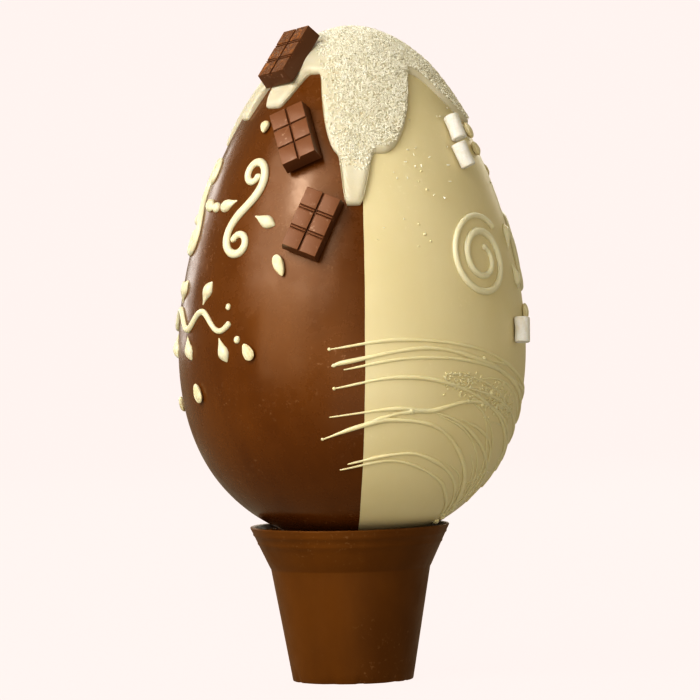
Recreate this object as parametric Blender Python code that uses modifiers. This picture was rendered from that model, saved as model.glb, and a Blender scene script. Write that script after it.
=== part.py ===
"""Decorated two-tone chocolate egg standing in a chocolate flower pot, at real size.

Units are metres and +Z is up. The origin is the centre of the pot's flat underside. The egg has a
frame of its own, with its origin at the egg's lowest point and its axis leaning slightly to +X.
A place on the egg is an azimuth, measured from the front of the seam (-Y) towards +X, and a
height above the egg's lowest point. The milk half lies at -X and the white half at +X.
"""
from math import acos, atan2, cos, degrees, pi, radians, sin, sqrt

import bmesh
import bpy
from mathutils import Matrix, Vector

MM = 0.001
GAP = 0.3 * MM                      # clearance between pieces that touch

# Egg: turned form, pointed end up
EGG_HEIGHT = 308 * MM
EGG_GIRTH = 101 * MM                # radius that the outline formula scales
EGG_TAPER = 0.246                   # moves the widest place downwards
EGG_FULLNESS = 0.05
EGG_LEAN = radians(1.3)
EGG_FOOT = Vector((1.1 * MM, 0.0, 81.8 * MM))
EGG_SIDES = 42                      # a flat facet lies on the seam, an edge on each flank
EGG_ROWS = 20

# Pot: turned form with a flared rim band above a small ledge
POT_BASE_RADIUS = 36.2 * MM
POT_WAIST_RADIUS = 47.8 * MM
POT_WAIST_HEIGHT = 68.3 * MM
POT_LEDGE = 0.6 * MM
POT_RIM_RADIUS = 59.8 * MM
POT_HEIGHT = 93.2 * MM
POT_WALL = 3.5 * MM
POT_FILL_DEPTH = 4.5 * MM           # filling lies this far below the lip
POT_EDGE = 0.7 * MM
POT_SIDES = 42

# Icing cap: a thick pour with drips of uneven length
ICING_THICKNESS = 3.0 * MM
ICING_SINK = 1.0 * MM               # depth below the egg's skin before the egg is cut out of it
ICING_EDGE_THICKNESS = 0.6          # share of the full thickness left at the drips' edge
ICING_HEM = 281 * MM                # height of the cap's edge between drips
ICING_SIDES = 72
ICING_ROWS = 5
# azimuth in degrees, drop below the hem in mm, reach to the left and to the right in degrees
DRIPS = (
    (-3, 47, 25.5, 45), (-54, 20, 12, 20), (-76, 27, 12, 10), (96, 30, 55, 22), (133, 62, 17, 18),
    (164, 30, 15, 16), (196, 48, 18, 14), (222, 24, 13, 15), (252, 44, 16, 15),
)
TONGUE = (-4.2, 30, 6.5, 10)        # narrow run below the front drip
DRIP_BLUNTNESS = 0.28               # share of a drip's reach over which its end is level

# Chocolate bar: two by three segments, drafted sides
BAR_WIDTH = 23 * MM
BAR_LENGTH = 39 * MM
BAR_HEIGHT = 9 * MM
BAR_DRAFT = 0.8 * MM
BAR_GROOVE_WIDTH = 2.2 * MM
BAR_GROOVE_DEPTH = 1.3 * MM
# name, azimuth, height in mm, roll, tip, lean in degrees, lift in mm
BARS = (
    ("bar_crown", -56.0, 286.0, -15.2, -2.8, -3.1, 3.6),
    ("bar_upper", -29.8, 241.9, -26.5, -3.0, -0.9, 0.8),
    ("bar_lower", -18.3, 191.8, 19.7, -2.0, 6.0, 1.2),
    ("bar_back", -160.0, 205.0, 24.0, -2.0, 0.0, 0.8),
)

# Marshmallow cylinders lying on the white half
MALLOW_RADIUS = 4.7 * MM
MALLOW_LENGTH = 15.2 * MM
MALLOW_ROUNDING = 1.3 * MM
MALLOW_SIDES = 12
# azimuth, height in mm, turn of the axis from upright in degrees
MALLOWS = (
    (51.8, 247.6, 4), (49.6, 231.6, -8), (64.5, 129.4, 10),
    (121.0, 118.0, 60), (118.0, 203.0, 25), (158.0, 152.0, -50),
)

# Puffed grains scattered on both halves
GRAIN_THICKNESS = 4.2 * MM
# azimuth, height in mm, length in mm, width in mm, turn of the axis from upright in degrees
GRAINS = (
    (-51.6, 249.3, 8, 6, -10), (-29.7, 168.5, 14, 6.5, -26), (-65.9, 92.3, 12, 7, -15),
    (-39.7, 117.9, 11, 7, -32), (-100.0, 84.0, 12, 7, 50), (150.0, 96.0, 13, 7, -30),
    (73.0, 247.3, 10.5, 7, 5), (70.0, 236.5, 9, 6.5, -10), (78.0, 139.6, 10, 6.5, 5), (100.0, 223.4, 9, 6.5, 20),
)

# Piped ornament: beads with a flat underside and a domed top
BEAD_SIDES = 4                      # faces over the dome
BEAD_DOME = 0.95                    # dome height over half width
BEAD_END = 0.5                      # share of the width left at a bead's ends
SCROLL_HALF_LENGTH = 61 * MM
SCROLL_TURN = 7.2                   # radians that each end of a scroll coils
SCROLL_STEPS = 13
SCROLL_SUBSTEPS = 4
SCROLL_CROWDING = 0.6               # moves the steps towards the coils
SCROLL_WIDTH = 5.6 * MM
SCROLL_HEIGHT = 202 * MM
SCROLL_AZIMUTHS = (-49.0, -87.0, -125.0)
SCROLL_LEAF_START = 9 * MM
SCROLL_LEAF_HEADING = 20.0
PEARL_SIZE = 7 * MM
PEARL_STEPS = (0.0, 0.25, 0.75, 1.0)
PEARL_HALVES = (0.2, 0.45, 0.45, 0.2)
SPIRAL_OUTER = 26 * MM
SPIRAL_INNER = 6.5 * MM
SPIRAL_TURNS = 2.1
SPIRAL_OPENING = radians(40)
SPIRAL_STEPS = 28
SPIRAL_WIDTH = 4.6 * MM
SPIRAL_HEIGHT = 173 * MM
SPIRAL_AZIMUTHS = (48.0, 94.0, 140.0)
SPIRAL_LEAF_HEADING = 72.0
VINE_HEIGHT = 135 * MM
VINE_SWING = 5.5 * MM
VINE_WAVE = 21.0                    # degrees of azimuth for one wave
VINE_START = -132.0
VINE_WAVES = 4
VINE_STEPS = 8                      # steps in one wave
VINE_WIDTH = 4.6 * MM
VINE_LEAF_HEADING = 62.0
LEAF_CLEARANCE = 4 * MM
LEAF_LENGTH = 16 * MM
LEAF_WIDTH = 8 * MM
LEAF_STEPS = (0.0, 0.3, 0.55, 0.78, 0.93, 1.0)

# Thick drizzle strand that runs round each side of the white half
STRAND_WIDTH = 3.4 * MM
STRAND_STEPS = 15
STRAND_START = 11.5                 # degrees of azimuth on the milk half
STRAND_REACH = 80.0                 # degrees from its start to its low end
STRAND_CREST = 125 * MM
STRAND_CREST_SHARE = 0.3
STRAND_DROP = 20 * MM


def clear_scene():
    """Remove whatever the file holds at the start."""
    for item in list(bpy.data.objects):
        bpy.data.objects.remove(item, do_unlink=True)


def new_collection(name):
    """Make a collection in the scene."""
    collection = bpy.data.collections.new(name)
    bpy.context.scene.collection.children.link(collection)
    return collection


def new_material(name, colour, roughness):
    """Make a Principled material with one colour and roughness."""
    material = bpy.data.materials.new(name)
    material.use_nodes = True
    shader = material.node_tree.nodes["Principled BSDF"]
    shader.inputs["Base Color"].default_value = (*colour, 1.0)
    shader.inputs["Roughness"].default_value = roughness
    shader.inputs["Metallic"].default_value = 0.0
    return material


def new_object(name, mesh, collection, material=None, parent=None):
    """Put a mesh in a collection as a named object."""
    item = bpy.data.objects.new(name, mesh)
    collection.objects.link(item)
    if material is not None and not mesh.materials:
        mesh.materials.append(material)
    item.parent = parent
    return item


def mesh_from_bmesh(name, shape):
    """Turn a bmesh into a mesh and free it."""
    mesh = bpy.data.meshes.new(name)
    shape.to_mesh(mesh)
    shape.free()
    return mesh


def turned_mesh(name, profile):
    """Make the edge chain that a Screw modifier turns, as (radius, height) pairs."""
    shape = bmesh.new()
    points = [shape.verts.new((radius, 0.0, height)) for radius, height in profile]
    for start, end in zip(points, points[1:]):
        shape.edges.new((start, end))
    return mesh_from_bmesh(name, shape)


def add_screw(item, sides):
    """Turn an object's profile once round Z."""
    screw = item.modifiers.new("turn", "SCREW")
    screw.axis = "Z"
    screw.angle = 2 * pi
    screw.steps = sides
    screw.render_steps = sides
    screw.use_merge_vertices = True
    screw.merge_threshold = 0.01 * MM


def add_boolean(item, cutter, operation):
    """Cut an object with another, or keep what they share."""
    boolean = item.modifiers.new(cutter.name, "BOOLEAN")
    boolean.operation = operation
    boolean.solver = "EXACT"
    boolean.object = cutter


def as_cutter(item):
    """Mark an object as a cutter."""
    item.hide_render = True
    item.display_type = "WIRE"


def egg_radius(height):
    """Radius of the egg at a height above its lowest point."""
    place = 2 * height / EGG_HEIGHT - 1
    girth = EGG_GIRTH * (1 - EGG_TAPER * place + EGG_FULLNESS * place * place)
    return girth * sqrt(max(0.0, 1 - place * place))


def egg_slope(height):
    """Change of radius per height, taken a little inside the poles."""
    step = 0.1 * MM
    middle = min(max(height, 2 * step), EGG_HEIGHT - 2 * step)
    return (egg_radius(middle + step) - egg_radius(middle - step)) / (2 * step)


def egg_axes(azimuth, height):
    """Point on the egg's skin with its sideways, upward and outward directions."""
    side = Vector((cos(azimuth), sin(azimuth), 0.0))
    radial = Vector((sin(azimuth), -cos(azimuth), 0.0))
    up = (radial * egg_slope(height) + Vector((0.0, 0.0, 1.0))).normalized()
    point = radial * egg_radius(height) + Vector((0.0, 0.0, height))
    return point, side, up, side.cross(up)


def egg_profile(offset):
    """Outline of the egg from top to bottom, grown by an offset."""
    profile = [(0.0, EGG_HEIGHT + offset)]
    for row in range(1, EGG_ROWS):
        height = EGG_HEIGHT * (1 + cos(pi * row / EGG_ROWS)) / 2
        slope = egg_slope(height)
        stretch = offset / sqrt(1 + slope * slope)
        profile.append((egg_radius(height) + stretch, height - slope * stretch))
    profile.append((0.0, -offset))
    return profile


def place_on_egg(item, azimuth, height, roll=0.0, tip=0.0, lean=0.0, lift=0.0):
    """Stand an object's XY plane on the egg's skin, turned and tipped in degrees."""
    point, side, up, out = egg_axes(radians(azimuth), height)
    base = Matrix((side, up, out)).transposed().to_4x4()
    turn = Matrix.Rotation(-radians(roll), 4, "Z")
    tipping = Matrix.Rotation(radians(tip), 4, "X")
    leaning = Matrix.Rotation(radians(lean), 4, "Y")
    item.matrix_local = Matrix.Translation(point + out * lift) @ base @ turn @ tipping @ leaning


def make_egg_room(cutters, egg_frame):
    """Make the slightly grown egg that cuts room for the egg in what lies on and under it."""
    room = new_object("egg_room", turned_mesh("egg_room", egg_profile(GAP)), cutters, None, egg_frame)
    add_screw(room, EGG_SIDES)
    as_cutter(room)
    return room


def make_egg_half(name, direction, material, build, cutters, egg_frame):
    """Turn the whole egg and keep the half on one side of the seam."""
    half = new_object(name, turned_mesh(name, egg_profile(0.0)), build, material, egg_frame)
    add_screw(half, EGG_SIDES)
    shape = bmesh.new()
    bmesh.ops.create_cube(shape, size=2 * EGG_HEIGHT)
    side = new_object(name + "_side", mesh_from_bmesh(name + "_side", shape), cutters, None, egg_frame)
    side.location = (direction * (EGG_HEIGHT + GAP / 2), 0.0, EGG_HEIGHT / 2)
    as_cutter(side)
    add_boolean(half, side, "INTERSECT")


def make_egg(build, cutters, egg_frame):
    """Make the milk half and the white half."""
    milk = new_material("milk_chocolate", (0.19, 0.068, 0.02), 0.3)
    white = new_material("white_chocolate", (0.76, 0.62, 0.36), 0.35)
    make_egg_half("egg_milk_half", -1, milk, build, cutters, egg_frame)
    make_egg_half("egg_white_half", 1, white, build, cutters, egg_frame)


def make_pot(build, egg_room):
    """Turn the pot with its filling, and sink the egg's seat into the filling."""
    fill = POT_HEIGHT - POT_FILL_DEPTH
    flare = (POT_RIM_RADIUS - POT_WAIST_RADIUS) / (POT_HEIGHT - POT_WAIST_HEIGHT)
    lip = POT_RIM_RADIUS - POT_WALL
    profile = (
        (0.0, fill), (lip - flare * POT_FILL_DEPTH, fill), (lip - flare * POT_EDGE, POT_HEIGHT - POT_EDGE),
        (lip + POT_EDGE, POT_HEIGHT), (POT_RIM_RADIUS - POT_EDGE, POT_HEIGHT),
        (POT_RIM_RADIUS, POT_HEIGHT - POT_EDGE), (POT_WAIST_RADIUS + POT_LEDGE, POT_WAIST_HEIGHT),
        (POT_WAIST_RADIUS, POT_WAIST_HEIGHT - POT_LEDGE), (POT_BASE_RADIUS, POT_EDGE),
        (POT_BASE_RADIUS - POT_EDGE, 0.0), (0.0, 0.0),
    )
    material = new_material("pot_chocolate", (0.13, 0.042, 0.012), 0.35)
    pot = new_object("pot", turned_mesh("pot", profile), build, material)
    add_screw(pot, POT_SIDES)
    add_boolean(pot, egg_room, "DIFFERENCE")


def drip_drop(drip, azimuth):
    """How far one drip lies below the hem at an azimuth in degrees, in mm."""
    middle, depth, left, right = drip
    away = (azimuth - middle + 180) % 360 - 180
    reach = left if away < 0 else right
    share = (abs(away) / reach - DRIP_BLUNTNESS) / (1 - DRIP_BLUNTNESS)
    share = max(0.0, min(1.0, share))
    return depth * (1 - share * share * (3 - 2 * share))


def icing_edge(azimuth):
    """Height of the icing's lower edge at an azimuth in degrees."""
    drop = max(drip_drop(drip, azimuth) for drip in DRIPS)
    return ICING_HEM - (drop + drip_drop(TONGUE, azimuth)) * MM


def make_icing(build, cutters, egg_frame, egg_room):
    """Pour the icing cap: a sphere's upper half laid over the egg down to the drips' edge."""
    shape = bmesh.new()
    bmesh.ops.create_uvsphere(shape, u_segments=ICING_SIDES, v_segments=2 * ICING_ROWS, radius=1.0)
    lower = [vert for vert in shape.verts if vert.co.z < -0.01]
    bmesh.ops.delete(shape, geom=lower, context="VERTS")
    edge_share = {}
    for vert in shape.verts:
        azimuth = atan2(vert.co.x, -vert.co.y)
        share = acos(max(-1.0, min(1.0, vert.co.z))) / (pi / 2)
        lowest = acos(2 * icing_edge(degrees(azimuth)) / EGG_HEIGHT - 1)
        height = EGG_HEIGHT * (1 + cos(lowest * share)) / 2
        edge_share[vert.index] = share
        point, _, _, out = egg_axes(azimuth, height)
        vert.co = point - out * ICING_SINK
    mesh = mesh_from_bmesh("icing_cap", shape)
    material = new_material("icing_white", (0.8, 0.7, 0.5), 0.45)
    icing = new_object("icing_cap", mesh, build, material, egg_frame)
    fullness = icing.vertex_groups.new(name="fullness")
    for vert, share in edge_share.items():
        fullness.add([vert], 1.0 if share < 0.95 else ICING_EDGE_THICKNESS, "REPLACE")
    solidify = icing.modifiers.new("thickness", "SOLIDIFY")
    solidify.thickness = ICING_THICKNESS + ICING_SINK
    solidify.offset = 1.0
    solidify.vertex_group = "fullness"
    add_boolean(icing, egg_room, "DIFFERENCE")
    bar_room = box_mesh("bar_room", BAR_WIDTH + 2 * GAP, BAR_LENGTH + 2 * GAP, -GAP, BAR_HEIGHT + GAP)
    for index, (_, *place) in enumerate(BARS):
        room = new_object("bar_room_%d" % index, bar_room, cutters, None, egg_frame)
        put_bar(room, place)
        as_cutter(room)
        add_boolean(icing, room, "DIFFERENCE")


def box_mesh(name, width, length, bottom, top, top_inset=0.0):
    """Make a box between two heights, its top drawn in on every side."""
    shape = bmesh.new()
    bmesh.ops.create_cube(shape, size=1.0)
    for vert in shape.verts:
        inset = top_inset if vert.co.z > 0 else 0.0
        vert.co.x *= width - 2 * inset
        vert.co.y *= length - 2 * inset
        vert.co.z = top if vert.co.z > 0 else bottom
    return mesh_from_bmesh(name, shape)


def put_bar(item, place):
    """Set a bar or its room on the egg."""
    azimuth, height, roll, tip, lean, lift = place
    place_on_egg(item, azimuth, height * MM, roll, tip, lean, lift * MM)


def cut_bar_mesh(cutters):
    """Cut the grooves between a bar's segments, and return its finished mesh."""
    blank = box_mesh("bar", BAR_WIDTH, BAR_LENGTH, 0.0, BAR_HEIGHT, BAR_DRAFT)
    bar = new_object("bar_blank", blank, cutters)
    bottom = BAR_HEIGHT - BAR_GROOVE_DEPTH
    top = BAR_HEIGHT + BAR_GROOVE_DEPTH
    widen = -BAR_GROOVE_WIDTH / 4
    along = box_mesh("groove_along", BAR_GROOVE_WIDTH / 2, 2 * BAR_LENGTH, bottom, top, widen)
    across = box_mesh("groove_across", 2 * BAR_WIDTH, BAR_GROOVE_WIDTH / 2, bottom, top, widen)
    places = ((along, 0.0), (across, -BAR_LENGTH / 6), (across, BAR_LENGTH / 6))
    grooves = []
    for index, (mesh, shift) in enumerate(places):
        groove = new_object("groove_%d" % index, mesh, cutters)
        groove.location = (0.0, shift, 0.0)
        grooves.append(groove)
        add_boolean(bar, groove, "DIFFERENCE")
    evaluated = bar.evaluated_get(bpy.context.evaluated_depsgraph_get())
    mesh = bpy.data.meshes.new_from_object(evaluated)
    for item in [bar] + grooves:
        bpy.data.objects.remove(item, do_unlink=True)
    return mesh


def make_bars(build, cutters, egg_frame):
    """Press the bars onto the egg and into the icing."""
    mesh = cut_bar_mesh(cutters)
    material = new_material("bar_chocolate", (0.22, 0.085, 0.03), 0.4)
    for name, *place in BARS:
        bar = new_object(name, mesh, build, material, egg_frame)
        put_bar(bar, place)


def make_mallows(build, egg_frame):
    """Lay the marshmallow cylinders on the white half."""
    lying = Matrix.Translation((0.0, 0.0, MALLOW_RADIUS + GAP)) @ Matrix.Rotation(pi / 2, 4, "X")
    shape = bmesh.new()
    bmesh.ops.create_cone(
        shape, cap_ends=True, segments=MALLOW_SIDES, radius1=MALLOW_RADIUS, radius2=MALLOW_RADIUS,
        depth=MALLOW_LENGTH, matrix=lying,
    )
    mesh = mesh_from_bmesh("marshmallow", shape)
    material = new_material("marshmallow", (0.7, 0.64, 0.53), 0.7)
    for index, (azimuth, height, turn) in enumerate(MALLOWS):
        mallow = new_object("marshmallow_%d" % (index + 1), mesh, build, material, egg_frame)
        place_on_egg(mallow, azimuth, height * MM, roll=turn)
        rounding = mallow.modifiers.new("rounding", "BEVEL")
        rounding.width = MALLOW_ROUNDING
        rounding.segments = 1


def make_grains(build, egg_frame):
    """Scatter the puffed grains: flattened balls that rest on the skin."""
    material = new_material("puffed_grain", (0.75, 0.6, 0.38), 0.6)
    lift = Matrix.Translation((0.0, 0.0, GRAIN_THICKNESS / 2 + GAP))
    for index, (azimuth, height, length, width, turn) in enumerate(GRAINS):
        name = "grain_%d" % (index + 1)
        size = lift @ Matrix.Diagonal((width * MM, length * MM, GRAIN_THICKNESS, 1.0))
        shape = bmesh.new()
        bmesh.ops.create_icosphere(shape, subdivisions=2, radius=0.5, matrix=size)
        grain = new_object(name, mesh_from_bmesh(name, shape), build, material, egg_frame)
        place_on_egg(grain, azimuth, height * MM, roll=turn)


def lay_bead(name, path, half_widths, material, build, egg_frame):
    """Pipe a bead with a flat underside along a path of (azimuth, height) places."""
    frames = [egg_axes(azimuth, height) for azimuth, height in path]
    corners = BEAD_SIDES + 1
    shape = bmesh.new()
    rings = []
    for index, (point, _, _, out) in enumerate(frames):
        ahead = frames[min(index + 1, len(frames) - 1)][0]
        behind = frames[max(index - 1, 0)][0]
        across = out.cross(ahead - behind).normalized() * half_widths[index]
        dome = half_widths[index] * BEAD_DOME
        ring = []
        for corner in range(corners):
            angle = pi * corner / BEAD_SIDES
            ring.append(shape.verts.new(point + across * cos(angle) + out * (GAP + dome * sin(angle))))
        rings.append(ring)
    for first, second in zip(rings, rings[1:]):
        for corner in range(corners):
            after = (corner + 1) % corners
            shape.faces.new((first[corner], first[after], second[after], second[corner]))
    shape.faces.new(rings[0])
    shape.faces.new(rings[-1])
    bmesh.ops.recalc_face_normals(shape, faces=shape.faces)
    new_object(name, mesh_from_bmesh(name, shape), build, material, egg_frame)


def on_egg(azimuth, height, flat_path):
    """Lay a path of flat (x, y) points on the egg round a place in degrees and metres."""
    radius = egg_radius(height)
    return [(radians(azimuth) + x / radius, height + y) for x, y in flat_path]


def swell(share):
    """Rise from zero to one and back as a share goes from zero to one."""
    return max(0.0, sin(pi * share))


def rounded(count, width):
    """Half widths of a bead that is full in its middle and thin at both ends."""
    shares = [swell(step / (count - 1)) ** 0.5 for step in range(count)]
    return [width / 2 * (BEAD_END + (1 - BEAD_END) * share) for share in shares]


def scroll_path(mirror):
    """S-shaped scroll whose bend grows evenly from its middle, coiling at both ends."""
    half = []
    x = y = travelled = 0.0
    for step in range(1, SCROLL_STEPS * SCROLL_SUBSTEPS + 1):
        share = (step / (SCROLL_STEPS * SCROLL_SUBSTEPS)) ** SCROLL_CROWDING
        middle = (share + travelled) / 2
        heading = pi / 4 + SCROLL_TURN * middle * middle
        x += SCROLL_HALF_LENGTH * (share - travelled) * cos(heading)
        y += SCROLL_HALF_LENGTH * (share - travelled) * sin(heading)
        travelled = share
        if step % SCROLL_SUBSTEPS == 0:
            half.append((x * mirror, y))
    return [(-x, -y) for x, y in reversed(half)] + [(0.0, 0.0)] + half


def spiral_path():
    """Spiral from its outer end at the upper right to its eye."""
    path = []
    for step in range(SPIRAL_STEPS + 1):
        share = step / SPIRAL_STEPS
        radius = SPIRAL_OUTER + (SPIRAL_INNER - SPIRAL_OUTER) * share
        angle = SPIRAL_OPENING + 2 * pi * SPIRAL_TURNS * share
        path.append((radius * cos(angle), radius * sin(angle)))
    return path


def pipe_scrolls(pipe):
    """Pipe the row of S-shaped scrolls, with pearls between them."""
    for index, azimuth in enumerate(SCROLL_AZIMUTHS):
        mirror = 1 if index % 2 == 0 else -1
        path = on_egg(azimuth, SCROLL_HEIGHT, scroll_path(mirror))
        pipe("scroll_%d" % (index + 1), path, rounded(len(path), SCROLL_WIDTH))
    for index, (left, right) in enumerate(zip(SCROLL_AZIMUTHS, SCROLL_AZIMUTHS[1:])):
        flat = [(PEARL_SIZE * (step - 0.5), 0.0) for step in PEARL_STEPS]
        path = on_egg((left + right) / 2, SCROLL_HEIGHT, flat)
        pipe("pearl_%d" % (index + 1), path, [PEARL_SIZE * half for half in PEARL_HALVES])


def pipe_vine(pipe):
    """Pipe the vine's wavy stem."""
    path = []
    for step in range(VINE_WAVES * VINE_STEPS + 1):
        wave = step / VINE_STEPS
        path.append((radians(VINE_START + VINE_WAVE * wave), VINE_HEIGHT + VINE_SWING * sin(2 * pi * wave)))
    pipe("vine", path, rounded(len(path), VINE_WIDTH))


def pipe_spirals(pipe):
    """Pipe the row of spirals on the white half."""
    for index, azimuth in enumerate(SPIRAL_AZIMUTHS):
        path = on_egg(azimuth, SPIRAL_HEIGHT, spiral_path())
        pipe("spiral_%d" % (index + 1), path, rounded(len(path), SPIRAL_WIDTH))


def leaf_places():
    """List each leaf as azimuth, height, start x and y on the skin, and heading in degrees."""
    places = []
    for index, azimuth in enumerate(SCROLL_AZIMUTHS):
        mirror = 1 if index % 2 == 0 else -1
        for side in (-1, 1):
            start = side * SCROLL_LEAF_START
            heading = side * mirror * SCROLL_LEAF_HEADING + (180 if side * mirror < 0 else 0)
            places.append((azimuth, SCROLL_HEIGHT, start * mirror, -start / 2, -heading))
    for wave in range(VINE_WAVES):
        crest = VINE_START + VINE_WAVE * (wave + 0.25)
        start = VINE_SWING + LEAF_CLEARANCE
        places.append((crest, VINE_HEIGHT, 0.0, start, VINE_LEAF_HEADING))
        places.append((crest + VINE_WAVE / 2, VINE_HEIGHT, 0.0, -start, -VINE_LEAF_HEADING))
    for left, right in zip(SPIRAL_AZIMUTHS, SPIRAL_AZIMUTHS[1:]):
        for heading in (SPIRAL_LEAF_HEADING, -SPIRAL_LEAF_HEADING):
            start = LEAF_CLEARANCE if heading > 0 else -LEAF_CLEARANCE
            places.append(((left + right) / 2, SPIRAL_HEIGHT, 0.0, start, heading))
    return places


def pipe_leaves(pipe):
    """Pipe the leaves: drops with a pointed start and a round end."""
    halves = [LEAF_WIDTH / 2 * (0.15 + 0.85 * swell(step ** 1.5)) for step in LEAF_STEPS]
    for index, (azimuth, height, x, y, heading) in enumerate(leaf_places()):
        ahead = LEAF_LENGTH * cos(radians(heading))
        up = LEAF_LENGTH * sin(radians(heading))
        flat = [(x + ahead * step, y + up * step) for step in LEAF_STEPS]
        pipe("leaf_%d" % (index + 1), on_egg(azimuth, height, flat), halves)


def make_ornament(build, egg_frame):
    """Pipe the whole ornament in one icing."""
    material = new_material("piped_white", (0.84, 0.75, 0.45), 0.4)

    def pipe(name, path, halves):
        lay_bead(name, path, halves, material, build, egg_frame)

    pipe_scrolls(pipe)
    pipe_vine(pipe)
    pipe_spirals(pipe)
    pipe_leaves(pipe)


def make_strands(build, egg_frame):
    """Lay the thickest drizzle strand at the front and its twin at the back."""
    material = new_material("drizzle_white", (0.8, 0.7, 0.44), 0.35)
    for name, middle, direction in (("strand_front", 0.0, 1), ("strand_back", 180.0, -1)):
        path = []
        for step in range(STRAND_STEPS):
            share = step / (STRAND_STEPS - 1)
            azimuth = middle + direction * (STRAND_REACH * share - STRAND_START)
            fall = (share - STRAND_CREST_SHARE) / (1 - STRAND_CREST_SHARE)
            path.append((radians(azimuth), STRAND_CREST - STRAND_DROP * fall * fall))
        lay_bead(name, path, rounded(len(path), STRAND_WIDTH), material, build, egg_frame)


def main():
    """Build the whole object."""
    clear_scene()
    build = new_collection("chocolate_egg")
    cutters = new_collection("cutters")
    egg_frame = bpy.data.objects.new("egg_frame", None)
    egg_frame.location = EGG_FOOT
    egg_frame.rotation_euler = (0.0, EGG_LEAN, 0.0)
    build.objects.link(egg_frame)
    egg_room = make_egg_room(cutters, egg_frame)
    make_egg(build, cutters, egg_frame)
    make_pot(build, egg_room)
    make_icing(build, cutters, egg_frame, egg_room)
    make_bars(build, cutters, egg_frame)
    make_mallows(build, egg_frame)
    make_grains(build, egg_frame)
    make_ornament(build, egg_frame)
    make_strands(build, egg_frame)


main()
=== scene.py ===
"""Looks of the decorated two-tone chocolate egg that stands in a chocolate flower pot.

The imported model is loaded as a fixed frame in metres, +Z up, with its origin at the centre of the
pot's underside. Every piece here stands for one or more of its solids, at the same place and size.
Places on the egg are an azimuth, from the front of the seam (-Y) towards +X, and a height above
the egg's lowest point. The milk half lies at -X and the white half at +X.
"""
from __future__ import annotations

import logging
from dataclasses import dataclass, field
from enum import Enum
from math import atan2, cos, hypot, pi, radians, sin, tau
from typing import Any, Mapping, Sequence

import bpy
import numpy as np
from mathutils import Matrix, Quaternion, Vector, noise

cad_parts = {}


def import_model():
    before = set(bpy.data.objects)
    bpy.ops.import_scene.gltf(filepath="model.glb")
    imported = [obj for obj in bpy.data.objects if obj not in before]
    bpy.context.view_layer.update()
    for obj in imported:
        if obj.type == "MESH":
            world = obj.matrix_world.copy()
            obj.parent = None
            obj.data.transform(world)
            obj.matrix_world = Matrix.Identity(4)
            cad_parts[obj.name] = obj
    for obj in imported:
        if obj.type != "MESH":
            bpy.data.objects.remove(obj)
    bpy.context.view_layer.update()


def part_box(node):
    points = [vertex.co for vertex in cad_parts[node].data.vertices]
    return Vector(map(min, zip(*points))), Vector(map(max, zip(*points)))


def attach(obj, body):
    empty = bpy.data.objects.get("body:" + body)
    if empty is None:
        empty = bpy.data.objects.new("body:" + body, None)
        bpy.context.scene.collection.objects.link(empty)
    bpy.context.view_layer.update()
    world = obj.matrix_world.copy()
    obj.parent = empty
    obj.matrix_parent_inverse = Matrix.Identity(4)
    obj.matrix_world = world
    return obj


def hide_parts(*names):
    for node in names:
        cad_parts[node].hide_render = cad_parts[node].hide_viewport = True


LOG = logging.getLogger("chocolate_egg")
MM = 0.001
BODY = "root"
# The bar finish, which adds crumbs on the crown bar's top and painted shade on every bar's flanks.
CRUMBS_AND_FLANK_SHADE_FINISH = "bar_chocolate"
CRUMB_ATTRIBUTE = "crumb"
# Mesh attribute of the bar faces whose colour the bar finish darkens: painted shade on the flanks.
FLANK_SHADE_ATTRIBUTE = "flank_shade"

Colour = tuple[float, float, float]
Array = np.ndarray


# ---------------------------------------------------------------------------------------------
# Shader kit
# ---------------------------------------------------------------------------------------------

class Blend(Enum):
    """Ways in which one colour is laid over another."""

    MIX = "MIX"
    MULTIPLY = "MULTIPLY"
    SCREEN = "SCREEN"
    OVERLAY = "OVERLAY"


class Signal:
    """A shader value that Python's operators work on, each adding a Math node."""

    def __init__(self, shade: Shade, socket: bpy.types.NodeSocket) -> None:
        """Wrap one output socket of a shade's node tree.

        Args:
            shade: The material's node maker.
            socket: The output socket that carries the value.
        """
        self.shade = shade
        self.socket = socket

    def _math(self, operation: str, first: Any, second: Any = None, clamp: bool = False) -> Signal:
        """Add one Math node.

        Args:
            operation: Blender's name of the operation.
            first: Left value, a number or a signal.
            second: Right value, where the operation has one.
            clamp: Whether the result is held between zero and one.

        Returns:
            The node's result.
        """
        values = [first] if second is None else [first, second]
        settings = {"operation": operation, "use_clamp": clamp}
        return Signal(self.shade, self.shade.node("ShaderNodeMath", settings, *values).outputs[0])

    def __add__(self, other: Any) -> Signal:
        """Sum of two values."""
        return self._math("ADD", self, other)

    __radd__ = __add__

    def __sub__(self, other: Any) -> Signal:
        """This value less another."""
        return self._math("SUBTRACT", self, other)

    def __rsub__(self, other: Any) -> Signal:
        """Another value less this one."""
        return self._math("SUBTRACT", other, self)

    def __mul__(self, other: Any) -> Signal:
        """Product of two values."""
        return self._math("MULTIPLY", self, other)

    __rmul__ = __mul__

    def __truediv__(self, other: Any) -> Signal:
        """This value over another."""
        return self._math("DIVIDE", self, other)

    def __pow__(self, other: Any) -> Signal:
        """This value raised to a power."""
        return self._math("POWER", self, other)

    def held(self) -> Signal:
        """This value held between zero and one."""
        return self._math("ADD", self, 0.0, clamp=True)

    def ramp(self, low: float, high: float, start: float = 0.0, end: float = 1.0) -> Signal:
        """Carry a range of this value smoothly onto another range.

        Args:
            low: Value that becomes start.
            high: Value that becomes end.
            start: Result at and below low.
            end: Result at and above high.

        Returns:
            The smoothly stepped value.
        """
        settings = {"interpolation_type": "SMOOTHSTEP", "clamp": True}
        node = self.shade.node("ShaderNodeMapRange", settings, self, low, high, start, end)
        return Signal(self.shade, node.outputs[0])


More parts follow.
